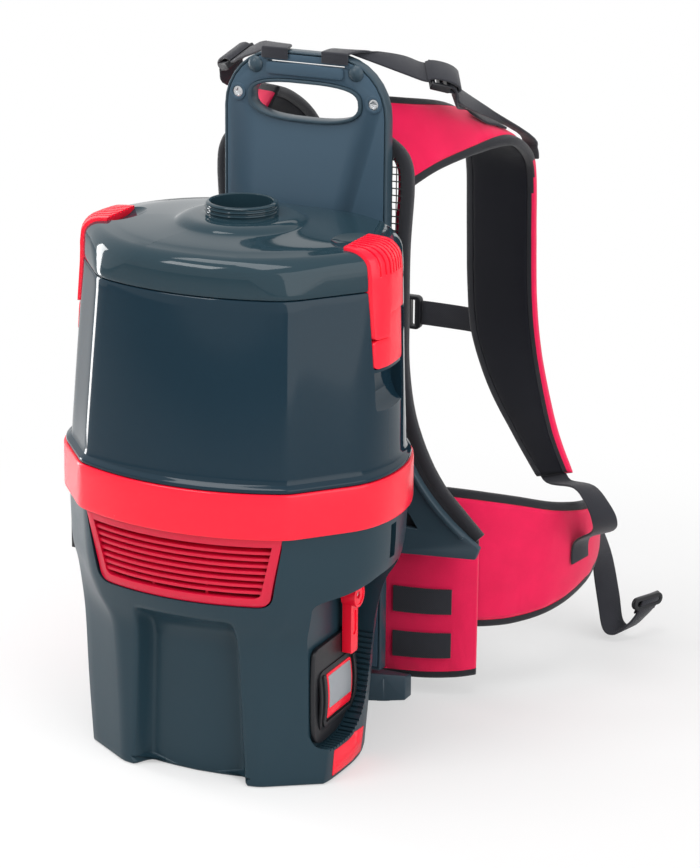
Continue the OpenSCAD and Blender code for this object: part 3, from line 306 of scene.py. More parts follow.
# Woven cloth: crossing threads in the piece's own flat coordinates, colour that varies, soft creases
def woven(name, colour, pitch=0.0011, sheen=0.25, contrast=0.3, wrinkle=0.0, fromUv=True, twill=False):
    material, add, link, shader, place = startSurface(name, **{
        "Roughness": 0.85, "Sheen Weight": sheen, "Sheen Roughness": 0.45, "Specular IOR Level": 0.25})
    waves = []
    for axis in ("X", "Y"):
        wave = add("ShaderNodeTexWave", bands_direction="DIAGONAL" if twill and axis == "Y" else axis, **{
            "Scale": 1 / pitch / 3.14159 / 2 * 3.0, "Distortion": 0.6, "Detail Scale": 3.0})
        link(place, "UV" if fromUv else "Object", wave, "Vector")
        waves.append(wave)
    weave = add("ShaderNodeMath", operation="MULTIPLY")
    link(waves[0], "Fac", weave, 0)
    link(waves[1], "Fac", weave, 1)
    half = add("ShaderNodeMath", operation="MULTIPLY")
    half.inputs[1].default_value = 0.6
    link(noiseFrom(add, link, place, 28.0, 5.0, Roughness=0.6), "Fac", half, 0)
    blend = add("ShaderNodeMath", operation="MULTIPLY_ADD")
    blend.inputs[1].default_value = 0.5
    link(weave, 0, blend, 0)
    link(half, 0, blend, 2)
    variedColour(add, link, blend, 0, shader, colour, contrast)
    bump = add("ShaderNodeBump", Strength=0.5, Distance=0.0004)
    link(weave, 0, bump, "Height")
    if wrinkle:
        crease = add("ShaderNodeBump", Strength=wrinkle, Distance=0.01)
        link(noiseFrom(add, link, place, 16.0, 3.0, Roughness=0.5, Distortion=0.6), "Fac", crease, "Height")
        link(crease, "Normal", bump, "Normal")
    link(bump, "Normal", shader, "Normal")
    return material


slateFeel = {"roughness": 0.3, "grain": 0.18, "grainSize": 0.0007, "specular": 0.22}
glossFeel = {"roughness": 0.06, "grain": 0.012, "grainSize": 0.004}
redFeel = {"roughness": 0.25, "grain": 0.1, "grainSize": 0.0012, "specular": 0.35, "mottle": 0.03}
finish = {
    "slate": mouldedPlastic("slate_plastic", "#33434d", **slateFeel),
    # The lower housing's slate is set darker than the frame's slate, as painted shade that offsets the
    # stronger front light on it
    "housing": mouldedPlastic("housing_plastic_painted_shade", "#20353f", **slateFeel),
    "panel": mouldedPlastic("panel_plastic", "#3b4f5e", **slateFeel),
    "gloss": mouldedPlastic("gloss_slate_plastic", "#162b37", specular=0.2, **glossFeel),
    "lidGloss": mouldedPlastic("gloss_lid_plastic", "#22363f", specular=0.24, **glossFeel),
    "red": mouldedPlastic("red_plastic", "#f21431", **redFeel),
    "black": mouldedPlastic("black_plastic", "#17181c", 0.38, grain=0.3, grainSize=0.0008, specular=0.35),
    "labelGrey": mouldedPlastic("label_grey", "#8d9297", 0.3, grain=0.05),
    "steel": metal("plated_steel", "#c8cacc", 0.25),
    "cast": metal("cast_aluminium", "#b9bcc0", 0.4),
    "brass": metal("brass_contact", "#c9a13b", 0.25),
    "copper": metal("copper_winding", "#9a5a30", 0.4),
    "board": mouldedPlastic("circuit_board", "#1f6b45", 0.4),
    "seal": mouldedPlastic("rubber_seal", "#111112", 0.7),
    "paper": mouldedPlastic("filter_cloth", "#d8d2c2", 0.9, grain=0.6, grainSize=0.002),
    "redCloth": woven("red_fabric", "#ee1550", wrinkle=0.3),
    "webbing": woven("black_webbing", "#2b2c32", pitch=0.0016, twill=True, contrast=0.35),
    "binding": woven("bound_edge", "#232429", pitch=0.0009, contrast=0.25),
    "spacer": woven("spacer_cloth", "#1c1d22", pitch=0.0034, contrast=0.4, fromUv=False, wrinkle=0.3),
    "netYarn": mouldedPlastic("net_yarn", "#17181c", 0.6),
    "lining": woven("black_lining", "#080a14", pitch=0.0009, contrast=0.2, sheen=0.08),
    "grilleRed": mouldedPlastic("grille_red", "#cb1236", **redFeel),
}

# Plan sections of the moulded shells, from the inlet's axis:
# height, front, crease x, crease y, shoulder x, shoulder y, side x, side y, back x, back y
shells = {
    "housing": [
        (0, 104, 65, 98, 110, 68, 114, -20, 20, 92), (60, 105, 67, 98, 115, 66, 119, -20, 20, 95),
        (110, 106, 70, 98, 117.5, 65, 123, -20, 20, 97), (130, 108, 73, 99, 119, 65, 125.5, -20, 20, 98),
        (150, 116, 84, 101, 121, 66, 130, -20, 20, 99),
        (165, 122, 90, 102.5, 123.5, 66, 136, -20, 22, 100),
        (178, 125, 92, 104, 127, 66, 143, -14, 30, 103),
        (192, 127.5, 93.5, 105, 128.5, 66, 146, -10, 34, 106),
        (229, 129.2, 95, 107, 130, 66, 147.7, -8, 37, 108)],
    "band": [
        (229, 133.5, 98, 110, 134, 68, 152, -8, 37, 112), (268, 133.5, 98, 110, 134, 68, 152, -8, 37, 112)],
    "canister": [
        (268, 127.5, 94.5, 104, 128, 65, 146, -8, 37, 108),
        (280, 126.5, 94, 104, 128, 64, 145, -8, 37, 108),
        (340, 120, 91.5, 99, 127, 56, 143, -10, 37, 107), (425, 110, 88, 91, 124, 46, 141, -12, 37, 106),
        (440, 108.6, 87.4, 90, 123.4, 45.6, 140.4, -12, 37, 105)],
}


# Section at a height, curving smoothly through the listed ones
def sectionAt(levels, z):
    i = max(k for k in range(len(levels)) if levels[k][0] <= z or k == 0)
    i = min(i, len(levels) - 2)
    a, b = levels[i], levels[i + 1]
    before, after = levels[max(i - 1, 0)], levels[min(i + 2, len(levels) - 1)]
    span = b[0] - a[0]
    t = min(max((z - a[0]) / span, 0), 1)
    out = []
    for k in range(1, 10):
        m0 = (b[k] - before[k]) / max(b[0] - before[0], 1) * span
        m1 = (after[k] - a[k]) / max(after[0] - a[0], 1) * span
        h = (2 * t ** 3 - 3 * t ** 2 + 1) * a[k] + (t ** 3 - 2 * t ** 2 + t) * m0
        out.append(h + (-2 * t ** 3 + 3 * t ** 2) * b[k] + (t ** 3 - t ** 2) * m1)
    return out


# The flute in the front: shares of its half width and the share of its depth at each
flute = [
    (0, 0.93), (0.35, 0.95), (0.7, 0.98), (0.77, 1.0), (0.8, 0.985), (0.83, 0.93), (0.86, 0.8),
    (0.9, 0.56), (0.94, 0.29), (0.965, 0.13), (0.985, 0.045), (1.01, 0.008), (1.04, 0)]
# Stops across the bow, as shares of the flute's half width
bowStops = [
    0, 0.16, 0.32, 0.47, 0.6, 0.7, 0.77, 0.8, 0.83, 0.855, 0.88, 0.905, 0.93, 0.945, 0.96, 0.975, 0.99,
    1.01, 1.05]


def flutePart(x, mouth):
    s = abs(x) / mouth
    for (s0, d0), (s1, d1) in zip(flute, flute[1:]):
        if s <= s1:
            return d0 + (d1 - d0) * (s - s0) / (s1 - s0)
    return 0


def quadratic(a, control, b, t):
    return (1 - t) ** 2 * a + 2 * t * (1 - t) * control + t * t * b


# Half outline from the middle of the front to the middle of the back
def halfPlan(section, inset=0.0, creaseRound=7.0, hollow=0.0, mouth=50.0):
    front, cx, cy, hx, hy, sx, sy, bx, by = section
    radius = (cx * cx + (front - cy) ** 2) / (2 * (front - cy))
    reach = (math.asin(cx / radius) - creaseRound / radius) * radius
    flat = [s * mouth for s in bowStops]
    if flat[-1] < reach - 3:
        flat += [flat[-1] + (reach - flat[-1]) * k / 5 for k in range(1, 6)]
    else:
        count = len(bowStops) + 5
        flat = [reach * k / (count - 1) for k in range(count)]
    bow = []
    for s in flat:
        a = s / radius
        x, y = radius * math.sin(a), front - radius + radius * math.cos(a)
        bow.append(Vector((x, -(y - hollow * flutePart(x, mouth)))))
    corner, shoulder, side = Vector((cx, -cy)), Vector((hx, -hy)), Vector((sx, sy))
    b = corner + (shoulder - corner).normalized() * creaseRound
    crease = [quadratic(bow[-1], corner, b, t) for t in (0.2, 0.4, 0.6, 0.8, 1)]
    chamfer = [b + (shoulder - b) * t for t in (0.2, 0.4, 0.6, 0.8)]
    lean = min(-hy + (cy - hy) * (sx - hx) / max(hx - cx, 1), sy - 4)
    flank = [quadratic(shoulder, Vector((sx, lean)), side, k / 12) for k in range(13)]
    rear = [Vector((bx + (sx - bx) * math.cos(math.radians(a)), sy + (by - sy) * math.sin(math.radians(a))))
            for a in (5, 11, 17, 24, 31, 38, 45, 52, 59, 66, 73, 80, 85, 90)]
    back = [Vector((bx * t, by)) for t in (0.66, 0.33)]
    outline = bow + crease + chamfer + flank + rear + back + [Vector((0, by))]
    if not inset:
        return outline
    moved = []
    for i, p in enumerate(outline):
        q, r = outline[max(i - 1, 0)], outline[min(i + 1, len(outline) - 1)]
        way = (r - q).normalized() if (r - q).length > 1e-6 else Vector((1, 0))
        moved.append(p + Vector((-way.y, way.x)) * inset)
    moved[0].x = moved[-1].x = 0
    return moved


def planRing(section, z, inset=0.0, **options):
    half = halfPlan(section, inset, **options)
    ring = half + [Vector((-p.x, p.y)) for p in half[-2:0:-1]]
    return [Vector((p.x, p.y, z)) * mm for p in ring]


def shellRing(name, z, inset=0.0, **options):
    return planRing(sectionAt(shells[name], z), z, inset, **options)


print("building the band")
bandRings = [shellRing("band", z, i) for z, i in (
    (229.6, 4.6), (229, 1.6), (229.2, 0.7), (229.9, 0.15), (231, 0), (240, 0), (256, 0), (266, 0),
    (267.2, 0.2), (267.8, 0.7), (268, 1.4), (267.9, 4.6))]
band = newMesh("red_band_shell", loftRings(bandRings, endless=True), finish["red"])
fit(band, "vacuum", "red_plastic", "red_band")

print("building the canister")
canisterRings = [shellRing("canister", 268.2, 7)]
canisterRings += [shellRing("band", z, i) for z, i in (
    (268.2, 2.9), (268.9, 2.2), (270.4, 1.9), (271.8, 2.3), (272.8, 3.4), (273.5, 4.8))]
canisterRings += [shellRing("canister", 274.6, -0.5), shellRing("canister", 276.5, -0.1)]
canisterRings += [shellRing("canister", z, creaseRound=7 + 3 * (z - 280) / 145) for z in (
    280, 288, 298, 310, 322, 335, 348, 362, 376, 390, 404, 416, 422)]
canisterRings += [shellRing("canister", z, i, creaseRound=13) for z, i in (
    (423.4, 0.1), (424.3, 0.5), (424.8, 1.4), (424.8, 6))]
canisterRings += [shellRing("canister", z, 6) for z in (404, 376, 340, 310, 285)]
canister = newMesh("canister_shell", loftRings(canisterRings, endless=True), finish["gloss"])
latch = {"pin": (141, 392), "swing": 10.2, "middle": -10, "half": 24.6, "split": -16.0, "proud": 2.6,
         "depth": 4.4, "low": 360, "hookLow": 385, "hookHigh": 405, "top": 480, "tip": 109.5}
scoop = {"half": 24.4, "top": 357, "low": 321}
lidEdge = sectionAt(shells["canister"], 425)
shoulder = {"low": 443, "rise": 14.5, "reach": 15, "brim": 20, "crown": 57,
            "turns": (12, 24, 36, 48, 60, 71, 80)}


# Ring that turns from the canister's outline into a circle
def lidRing(z, inset, circle=0.0, radius=0.0, lift=0.0):
    ring = planRing(lidEdge, z + lift, inset, creaseRound=14 + min(max(z - 429, 0), 24) * 1.25, mouth=200)
    out = []
    for p in ring:
        flat = Vector((p.x, p.y, 0))
        length = flat.length * (1 - circle) + radius * mm * circle
        out.append(flat.normalized() * length + Vector((0, 0, (z + lift) * mm)))
    return out


# Rings over the lid's shoulder, at one distance from its surface
def shoulderRings(proud=0.0):
    rings = []
    for a in shoulder["turns"]:
        rise, reach = math.sin(math.radians(a)), 1 - math.cos(math.radians(a))
        inset = 0.7 + shoulder["reach"] * reach - proud + proud * reach
        rings.append(lidRing(shoulder["low"] + shoulder["rise"] * rise, inset, lift=proud * rise))
    return rings


# Solid that follows the canister's and the lid's surface at one distance from it
def skinSolid(proud):
    rings = [shellRing("canister", z, -proud, creaseRound=12, mouth=200) for z in range(340, 425, 8)]
    rings += [lidRing(z, -proud) for z in (430, 437)]
    rings += shoulderRings(proud)
    rings.append(lidRing(458, shoulder["brim"], lift=proud))
    rings.append(lidRing(459, shoulder["brim"], 0.4, shoulder["crown"], lift=proud))
    return cutterFrom(loftRings(rings))


def mirroredMesh(piece, name):
    mesh = piece.data.copy()
    mesh.transform(Matrix.Scale(-1, 4, (1, 0, 0)))
    mesh.flip_normals()
    other = bpy.data.objects.new(name, mesh)
    scene.collection.objects.link(other)
    return other


# What the latch's outline takes out of the shell between two distances from the surface
def latchPart(name, outline, outer, inner):
    part = cutterFrom(prism(outline, "x", latch["tip"], 175), name)
    carve(part, skinSolid(outer), "INTERSECT", "MANIFOLD")
    carve(part, skinSolid(inner), "DIFFERENCE", "MANIFOLD")
    return part


near, far = latch["middle"] - latch["half"], latch["middle"] + latch["half"]
pocketOutline = rounded(near - 0.5, latch["low"] - 0.5, far + 0.5, latch["top"], 3, 4)
pocket = latchPart("pocket", pocketOutline, 12, -latch["depth"])


def pocketFor(side):
    return pocket.copy() if side > 0 else mirroredMesh(pocket, "pocket_left")


y0, y1 = latch["middle"] - scoop["half"], latch["middle"] + scoop["half"]
slope = [(131.2, scoop["top"]), (131.2, 346), (131.8, 340), (133.2, 334.5), (135.6, 329.5), (139, 325.4),
         (144, 322.4), (150, scoop["low"]), (170, scoop["low"]), (170, scoop["top"])]
scoopFace = rounded(y0, scoop["low"] - 2, y1, scoop["top"] + 26, 11, 8)
for side in (1, -1):
    wallFill = cutterFrom(loftRings([shellRing("canister", z, 0.3) for z in (312, 340, 372, 404)]))
    carve(wallFill, cutterFrom(boxMesh((side * 125, side * 160), (-40, 20), (314, 403))), "INTERSECT")
    carve(canister, wallFill, "UNION")
    hand = cutterFrom(prism([(side * x, z) for x, z in slope], "y", y0 - 2, y1 + 2))
    cutPrism(hand, scoopFace, "x", *sorted((side * 120, side * 180)), "INTERSECT")
    carve(canister, hand)
    carve(canister, pocketFor(side))
    swing = []
    for k in range(32):
        a = k * math.pi / 16
        swing.append((side * latch["pin"][0] + latch["swing"] * math.cos(a),
                      latch["pin"][1] + latch["swing"] * math.sin(a)))
    cutPrism(canister, swing, "y", near - 0.6, latch["split"] + 0.6)
soften(canister, 28)
fit(canister, "vacuum", "gloss_slate_plastic", "canister")

print("building the lid")
lidRings = [lidRing(z, i) for z, i in (
    (425.2, 3.2), (425.3, 1.2), (425.8, 0.4), (426.8, 0.05), (430, 0.05), (436, 0.2), (441.5, 0.6))]
lidRings += shoulderRings()
lidRings.append(lidRing(458.0, shoulder["brim"]))
for t in (0.1, 0.22, 0.35, 0.48, 0.6, 0.72, 0.83, 0.92, 0.97, 1.0):
    circle = t * t * (3 - 2 * t) * 0.6 + t * 0.4
    lidRings.append(lidRing(458.0 + 5.6 * t ** 0.9, shoulder["brim"], circle, shoulder["crown"]))
# Radius and height, over the crown, up the inlet's ribbed collar and down its bore
lidRings += [lidRing(z, 13, 1, r) for r, z in (
    (56, 463.9), (54.6, 465), (52.5, 466.5), (49.5, 468), (46, 468.9), (42, 469.3), (36, 469.5),
    (32.5, 469.6), (31, 469.9), (30.2, 470.6), (30.3, 471.4), (31.1, 472), (31.4, 472.7), (31.1, 473.4),
    (30.1, 474), (30, 474.7), (30.9, 475.3), (31.3, 476), (31, 476.7), (29.9, 477.2), (29.7, 477.8),
    (30.3, 478.3), (30.5, 478.9), (30.1, 479.5), (29.2, 480), (28.4, 480.3), (27.4, 480.3), (26.7, 480),
    (26.3, 479.4), (26.1, 475), (26, 468), (26, 459), (27, 457.5), (34, 457.5), (44, 459.5), (52, 458.5))]
lidRings += [lidRing(440.5 + 16 * t, 16, t, shoulder["crown"]) for t in (0.7, 0.35, 0.0)]
lidRings += [lidRing(z, i) for z, i in (
    (434, 12), (425, 9.6), (415.4, 9.6), (415, 9.2), (415, 6.9), (415.4, 6.5), (424.6, 6.5), (425.2, 6.4))]
lid = newMesh("lid_shell", loftRings(lidRings, endless=True), finish["lidGloss"])
dish = {"radii": (19, 30, 10), "lean": 6, "at": (106, -9, 464.5)}
for side in (1, -1):
    carve(lid, pocketFor(side), solver="MANIFOLD")
    thumb = bmesh.new()
    bmesh.ops.create_uvsphere(thumb, u_segments=64, v_segments=32, radius=1)
    bmesh.ops.scale(thumb, verts=thumb.verts, vec=[r * mm for r in dish["radii"]])
    lean = Matrix.Rotation(math.radians(dish["lean"] * side), 3, "Y")
    bmesh.ops.rotate(thumb, verts=thumb.verts, matrix=lean)
    x, y, z = dish["at"]
    bmesh.ops.translate(thumb, verts=thumb.verts, vec=(side * x * mm, y * mm, z * mm))
    carve(lid, cutterFrom(thumb), solver="MANIFOLD")
bpy.data.objects.remove(pocket)
soften(lid, 28)
fit(lid, "lid", "gloss_slate_plastic", "lid")

# Latches: a ribbed hook over the lid's shoulder, its lower piece beside and under it
print("building the latches")
split, inner, seam = latch["split"], latch["depth"] - 0.4, 1.3
low, hookLow, hookHigh, top = latch["low"], latch["hookLow"], latch["hookHigh"], latch["top"]
hookOutline = roundedPath([(near, hookLow), (split, hookLow), (split, hookHigh), (far, hookHigh), (far, top),
                           (near, top)], 3.0, 4)
baseOutline = roundedPath([(near, low), (far, low), (far, hookHigh - 1.4), (split + seam, hookHigh - 1.4),
                           (split + seam, hookLow - seam), (near, hookLow - seam)], 5.0, 5)
hook = latchPart("latch_cover", hookOutline, latch["proud"], -inner)
grooves = {"count": 7, "width": 2.2, "low": 437, "depth": 1.3}
pitch = (far - near - 9) / grooves["count"]
for i in range(grooves["count"]):
    y = near + 5.5 + pitch * (i + 0.2)
    grooveOutline = rounded(y, grooves["low"], y + grooves["width"], top, 1.0, 3)
    carve(hook, latchPart("groove", grooveOutline, 9, latch["proud"] - grooves["depth"]), solver="MANIFOLD")
lowerPiece = latchPart("latch_lower", baseOutline, latch["proud"] - 1.8, -inner)
for piece, body, node, width in (
        (hook, "latch_", "latch_hook_", 0.9), (lowerPiece, "vacuum", "latch_base_", 1.2)):
    ease(piece, width, 3, 35)
    paint(piece, "red")
    other = mirroredMesh(piece, piece.name + "_left")
    piece.name += "_right"
    for half, label in ((piece, "right"), (other, "left")):
        fit(half, body + label if body == "latch_" else body, "red_plastic", node + label)
pin = {"x": 139.4, "radius": 1.5, "length": 30, "chamfer": 0.4}
pinMesh = bmesh.new()
for side in (1, -1):
    spot = (side * pin["x"], latch["middle"] + 2, latch["pin"][1])
    pinVerts = rodMesh(pinMesh, spot, "y", pin["radius"], pin["length"], 32)
    rims = [e for e in {e for v in pinVerts for e in v.link_edges} if abs(e.calc_face_angle(0)) > 1]
    bmesh.ops.bevel(pinMesh, geom=rims, offset=pin["chamfer"] * mm, offset_type="OFFSET", affect="EDGES",
                    segments=2, profile=0.5, material=-1)
fit(newMesh("latch_pin_rods", pinMesh, finish["steel"]), "vacuum", "steel", "latch_pins")

print("building the housing")
frontFlute = {"depth": 17.5, "from": 116, "run": 33, "endAt": 133, "endHalf": 18}


# The flute runs out upwards, and the front's own step is taken back around its end
def housingRing(z, inset=0.0):
    section = sectionAt(shells["housing"], z)
    t = min(max(z - frontFlute["from"], 0) / frontFlute["run"], 1)
    step = (section[0] - 105) * max(0.0, 1 - abs(z - frontFlute["endAt"]) / frontFlute["endHalf"])
    return planRing(section, z, inset, creaseRound=6 if z < 150 else 7,
                    hollow=frontFlute["depth"] * (1 - t ** 1.6) + step, mouth=54 - 6 * min(z / 130, 1))


heights = [
    8, 18, 30, 42, 54, 66, 78, 90, 100, 108, 114, 117, 120, 124, 128, 132, 136, 140, 144, 147, 149, 151,
    154, 158, 162, 166, 170, 174, 178, 182, 187, 192, 198, 206, 214, 222, 227]
housingRings = [housingRing(0, 2.2), housingRing(0.35, 1.1), housingRing(1.2, 0.3), housingRing(2.6)]
housingRings += [housingRing(z) for z in heights]
housingRings += [housingRing(228.3, 0.1), housingRing(228.8, 0.5), housingRing(229, 1.2)]
# The shell takes the darker slate copy: painted shade that offsets the front light on the lower housing
housing = newMesh("housing_shell", loftRings(housingRings), finish["housing"])
carve(housing, cutterFrom(boxMesh((-38, 38), (80, 121.6), (0, 229))), "UNION")

bay = {
    "floor": 100,
    "outline": [
        (-72, 33), (-60, 30.5), (-25, 32), (-6, 42), (4, 56), (9, 80), (12, 110), (14, 150), (12, 184),
        (-31, 181), (-65, 171), (-84, 165), (-82, 150), (-78, 123), (-77, 87), (-76.5, 48)],
    "shaft": (-69.7, 39.3, 8.7, 108.7, 12),
    "tagRecess": [
        (-56.4, 3.6), (4.4, 3.6), (6.4, 27.2), (-19.6, 31.2), (-20, 29.6), (-30, 27.8), (-56.4, 27.8)],
}
cutPrism(housing, roundedPath(bay["outline"], 6), "x", bay["floor"], 170)
cutPrism(housing, rounded(*bay["shaft"]), "x", -43, 101)
cutPrism(housing, roundedPath(bay["tagRecess"], 1.5), "x", 109, 170)

# Notches along the bay's rear and lower rim
notches = {"pitch": 4.8, "width": 2.2, "depth": 1.9, "margin": 1.2, "from": 103,
           "rim": [(-64, 31.4), (-60, 30.5), (-25, 32), (-6, 42), (4, 56), (9, 80), (12, 114)]}
rim = [Vector(p) for p in notches["rim"]]
notchMesh = bmesh.new()
travel = 2.0
for a, b in zip(rim, rim[1:]):
    run = (b - a).normalized()
    outward = Vector((run.y, -run.x))
    while travel < (b - a).length - notches["margin"]:
        spot = a + run * travel
        wide, deep = run * notches["width"] / 2, outward * notches["depth"]
        corners = [spot - wide - outward, spot + wide - outward,
                   spot + wide * 0.7 + deep, spot - wide * 0.7 + deep]
        rings = [[Vector((x, q.x, q.y)) * mm for q in corners] for x in (notches["from"], 150)]
        capBoth(notchMesh, *addLoft(notchMesh, rings))
        travel += notches["pitch"]
    travel = max(travel - (b - a).length, notches["margin"])
carve(housing, cutterFrom(notchMesh))
grille = {"low": 166.5, "top": 91, "bottom": 80}
window = [(-grille["top"] - 1.4, 231), (-grille["bottom"] - 0.4, grille["low"] - 0.4),
          (grille["bottom"] + 0.4, grille["low"] - 0.4), (grille["top"] + 1.4, 231)]
cutPrism(housing, roundedPath(window, 12, 8), "y", -150, -96)
# Pockets in the two flanks, and the recess for the rocker's bezel
flankCuts = [((142, 160), (-16, -6), (192, 222)), ((-142, -160), (-16, -6), (192, 222)),
             ((-160, -139), (-29.9, 6.5), (159.8, 192.2))]
for spans in flankCuts:
    carve(housing, cutterFrom(boxMesh(*spans)))
soften(housing, 26)
fit(housing, "vacuum", "slate_plastic", "lower_housing")

# The rigid pieces that keep their solids: node, body, surface and how far the edges are eased
print("easing the rigid pieces")
slotOf = {
    "grilleRed": "red_plastic", "red": "red_plastic", "slate": "slate_plastic", "panel": "slate_plastic",
    "labelGrey": "slate_plastic", "black": "black_plastic", "steel": "steel"}
for node, body, surface, width in (
        ("exhaust_grille", "vacuum", "grilleRed", 0.5), ("corner_tag", "vacuum", "red", 0.8),
        ("power_rocker", "power_rocker", "red", 0.5), ("back_frame", "vacuum", "slate", 1.2),
        ("frame_panel", "vacuum", "panel", 0.8), ("handle_sleeve", "vacuum", "slate", 1.0),
        ("frame_knobs", "vacuum", "slate", 0.6), ("frame_foot", "vacuum", "slate", 1.2),
        ("frame_screws", "vacuum", "steel", 0.3), ("battery_case", "battery", "black", 0.8),
        ("battery_cap", "battery", "black", 0.8), ("battery_bay", "vacuum", "black", 0.5),
        ("rocker_bezel", "vacuum", "black", 0.8), ("lifter_buckle_right", "vacuum", "black", 1.0),
        ("lifter_buckle_left", "vacuum", "black", 1.0), ("sternum_buckle", "vacuum", "black", 1.0),
        ("hip_ring_right", "vacuum", "black", 0.8), ("hip_ring_left", "vacuum", "black", 0.8)):
    easedCopy(node, body, surface, slotOf[surface], width)
footPiece = bpy.data.objects["eased_frame_foot"]
for side in (1, -1):
    web = [(side * x, y) for x, y in ((74, 123.95), (80, 126.36), (84, 128.8), (84, 133), (74, 130))]
    cutPrism(footPiece, web, "z", 0.05, 21, "UNION", "MANIFOLD")
paint(footPiece, "slate")
tagPiece = bpy.data.objects["eased_corner_tag"]
tagTrim = [(-60, 27.4), (-30, 27.4), (-19, 29.6), (-19, 40), (-60, 40)]
cutPrism(tagPiece, tagTrim, "x", 100, 180, solver="MANIFOLD")
paint(tagPiece, "red")

# Battery's outer end: an apron that fills the bay, a raised frame and a blank two-colour label
batteryEnd = {
    "face": 100.6, "rim": 104.6, "peak": 109, "sag": 5, "half": 34, "middle": 74, "cuts": 14,
    "label": (-56, 55, -8, 95),
    "apron": [
        (-70, 37), (-58, 33.5), (-26, 35), (-8, 44.5), (1, 57), (5.6, 80), (8.5, 108), (8.5, 121),
        (-74, 121), (-75, 87), (-74, 50)],
}
apronMesh = prism(roundedPath(batteryEnd["apron"], 9, 6), "x", batteryEnd["face"], batteryEnd["rim"])
apron = newMesh("battery_apron", apronMesh, finish["black"])
ease(apron, 0.9, 3, 50)
fit(apron, "battery", "black_plastic")


# A plate that lies on the battery's domed end, between two heights above it
def onDome(name, outline, low, high, surface):
    bm = bmesh.new()
    bm.faces.new(startLoop(bm, [Vector((0, y, z)) * mm for y, z in outline]))
    sag, half, middle, cuts = [batteryEnd[k] for k in ("sag", "half", "middle", "cuts")]
    for cut in range(cuts):
        z = (middle - half + 2 * half * (cut + 1) / (cuts + 1)) * mm
        bmesh.ops.bisect_plane(bm, geom=bm.verts[:] + bm.edges[:] + bm.faces[:], plane_co=(0, 0, z),
                               plane_no=(0, 0, 1))
    radius = (half * half + sag * sag) / (2 * sag)
    for v in bm.verts:
        dome = math.sqrt(radius ** 2 - (v.co.z / mm - middle) ** 2)
        v.co.x = (batteryEnd["peak"] - radius + dome + low) * mm
    thick = bmesh.ops.extrude_face_region(bm, geom=bm.faces[:])["geom"]
    raised = [v for v in thick if isinstance(v, bmesh.types.BMVert)]
    bmesh.ops.translate(bm, verts=raised, vec=((high - low) * mm, 0, 0))
    piece = newMesh(name, bm, finish[surface])
    ease(piece, 0.3, 2, 40)
    fit(piece, "battery", slotOf[surface])


y0, z0, y1, z1 = batteryEnd["label"]
cradle = [
    (y0 - 7, z0 - 10), (y1 + 3, z0 - 10), (y1 + 11, z0 + 8), (y1 + 11, z1 + 4), (y0 - 11, z1 + 4),
    (y0 - 11, z0)]
collar = [
    (y0 - 7, z1 + 1), (y0 - 7, z0 - 1), (y0 - 3, z0 - 7), (y1 + 2, z0 - 7), (y1 + 8, z0 + 4),
    (y1 + 8, z1 + 1), (y1 + 3, z1 + 1), (y1 + 3, z0 + 5), (y1, z0 - 2.5), (y0 - 1.5, z0 - 2.5),
    (y0 - 2.5, z0), (y0 - 2.5, z1 + 1)]
onDome("battery_frame", roundedPath(cradle, 8, 6), -3, -0.6, "black")
onDome("battery_collar", roundedPath(collar, 1.6, 4), -1.2, 1.2, "black")
onDome("battery_label_field", rounded(y0, z0, y1, z1, 2.5), -1, 0.2, "red")
onDome("battery_label_panel", rounded(y0 + 2.4, z0 + 9, y1 - 2.4, z1 - 2.2, 1.5), -0.2, 0.5, "labelGrey")

# Catch: a flat bar with a raised disc at its pin
catch = {"x": (105.2, 113.5), "disc": 118, "y": -14, "z": 154, "length": 52, "half": 6.8, "discRadius": 10.3}
rear, front = catch["y"] + catch["half"], catch["y"] - catch["half"]
low, high = catch["z"] - catch["length"], catch["z"]
barOutline = roundedPath([(rear, high), (front, high), (front, low), (rear, low)], 2.4, 5)
catchBar = newMesh("catch_bar", prism(barOutline, "x", *catch["x"]), finish["red"])
cutPrism(catchBar, rounded(catch["y"] - 4, 118, catch["y"] + 4, 140, 3.6), "x", 112.3, 120, solver="MANIFOLD")
for radius, start, end, how in (
        (catch["discRadius"], catch["x"][0], catch["disc"], "UNION"),
        (catch["discRadius"] - 2, catch["disc"] - 0.9, 130, "DIFFERENCE"), (3.2, 100, 130, "DIFFERENCE")):
    disc = bmesh.new()
    rodMesh(disc, ((start + end) / 2, catch["y"], catch["z"]), "x", radius, end - start, 64)
    carve(catchBar, cutterFrom(disc), how, "MANIFOLD")
ease(catchBar, 0.6, 3, 40)
paint(catchBar, "red")
fit(catchBar, "battery_catch", "red_plastic", "battery_catch")

print("sewing the straps, belt and pad")
harness = {"strapThickness": 13, "wingThickness": 14, "lumbarThickness": 11, "webbing": 2.2, "binding": 7.2,
           "padFront": 134.4, "padThickness": 20}


def at(row, i):
    return Vector(row[min(max(i, 0), len(row) - 1)])


# A curve through the points, with a number of steps from each to the next
def smoothRow(points, steps):
    out = []
    for i in range(len(points) - 1):
        p0, p1, p2, p3 = [at(points, i + k) for k in (-1, 0, 1, 2)]
        for k in range(steps):
            t = k / steps
            out.append(0.5 * (2 * p1 + (p2 - p0) * t + (2 * p0 - 5 * p1 + 4 * p2 - p3) * t * t
                              + (3 * p1 - p0 - 3 * p2 + p3) * t ** 3))
    return out + [at(points, len(points) - 1)]


def faceNormal(a, b, i):
    run = at(a, i + 1) + at(b, i + 1) - at(a, i - 1) - at(b, i - 1)
    return run.cross(at(b, i) - at(a, i)).normalized()


# The two edges of a band, as they are on the right or mirrored and swapped on the left
def pairFor(side, a, b):
    a, b = [[Vector((p[0] * side, p[1], p[2])) for p in row] for row in (a, b)]
    return (a, b) if side > 0 else (b, a)


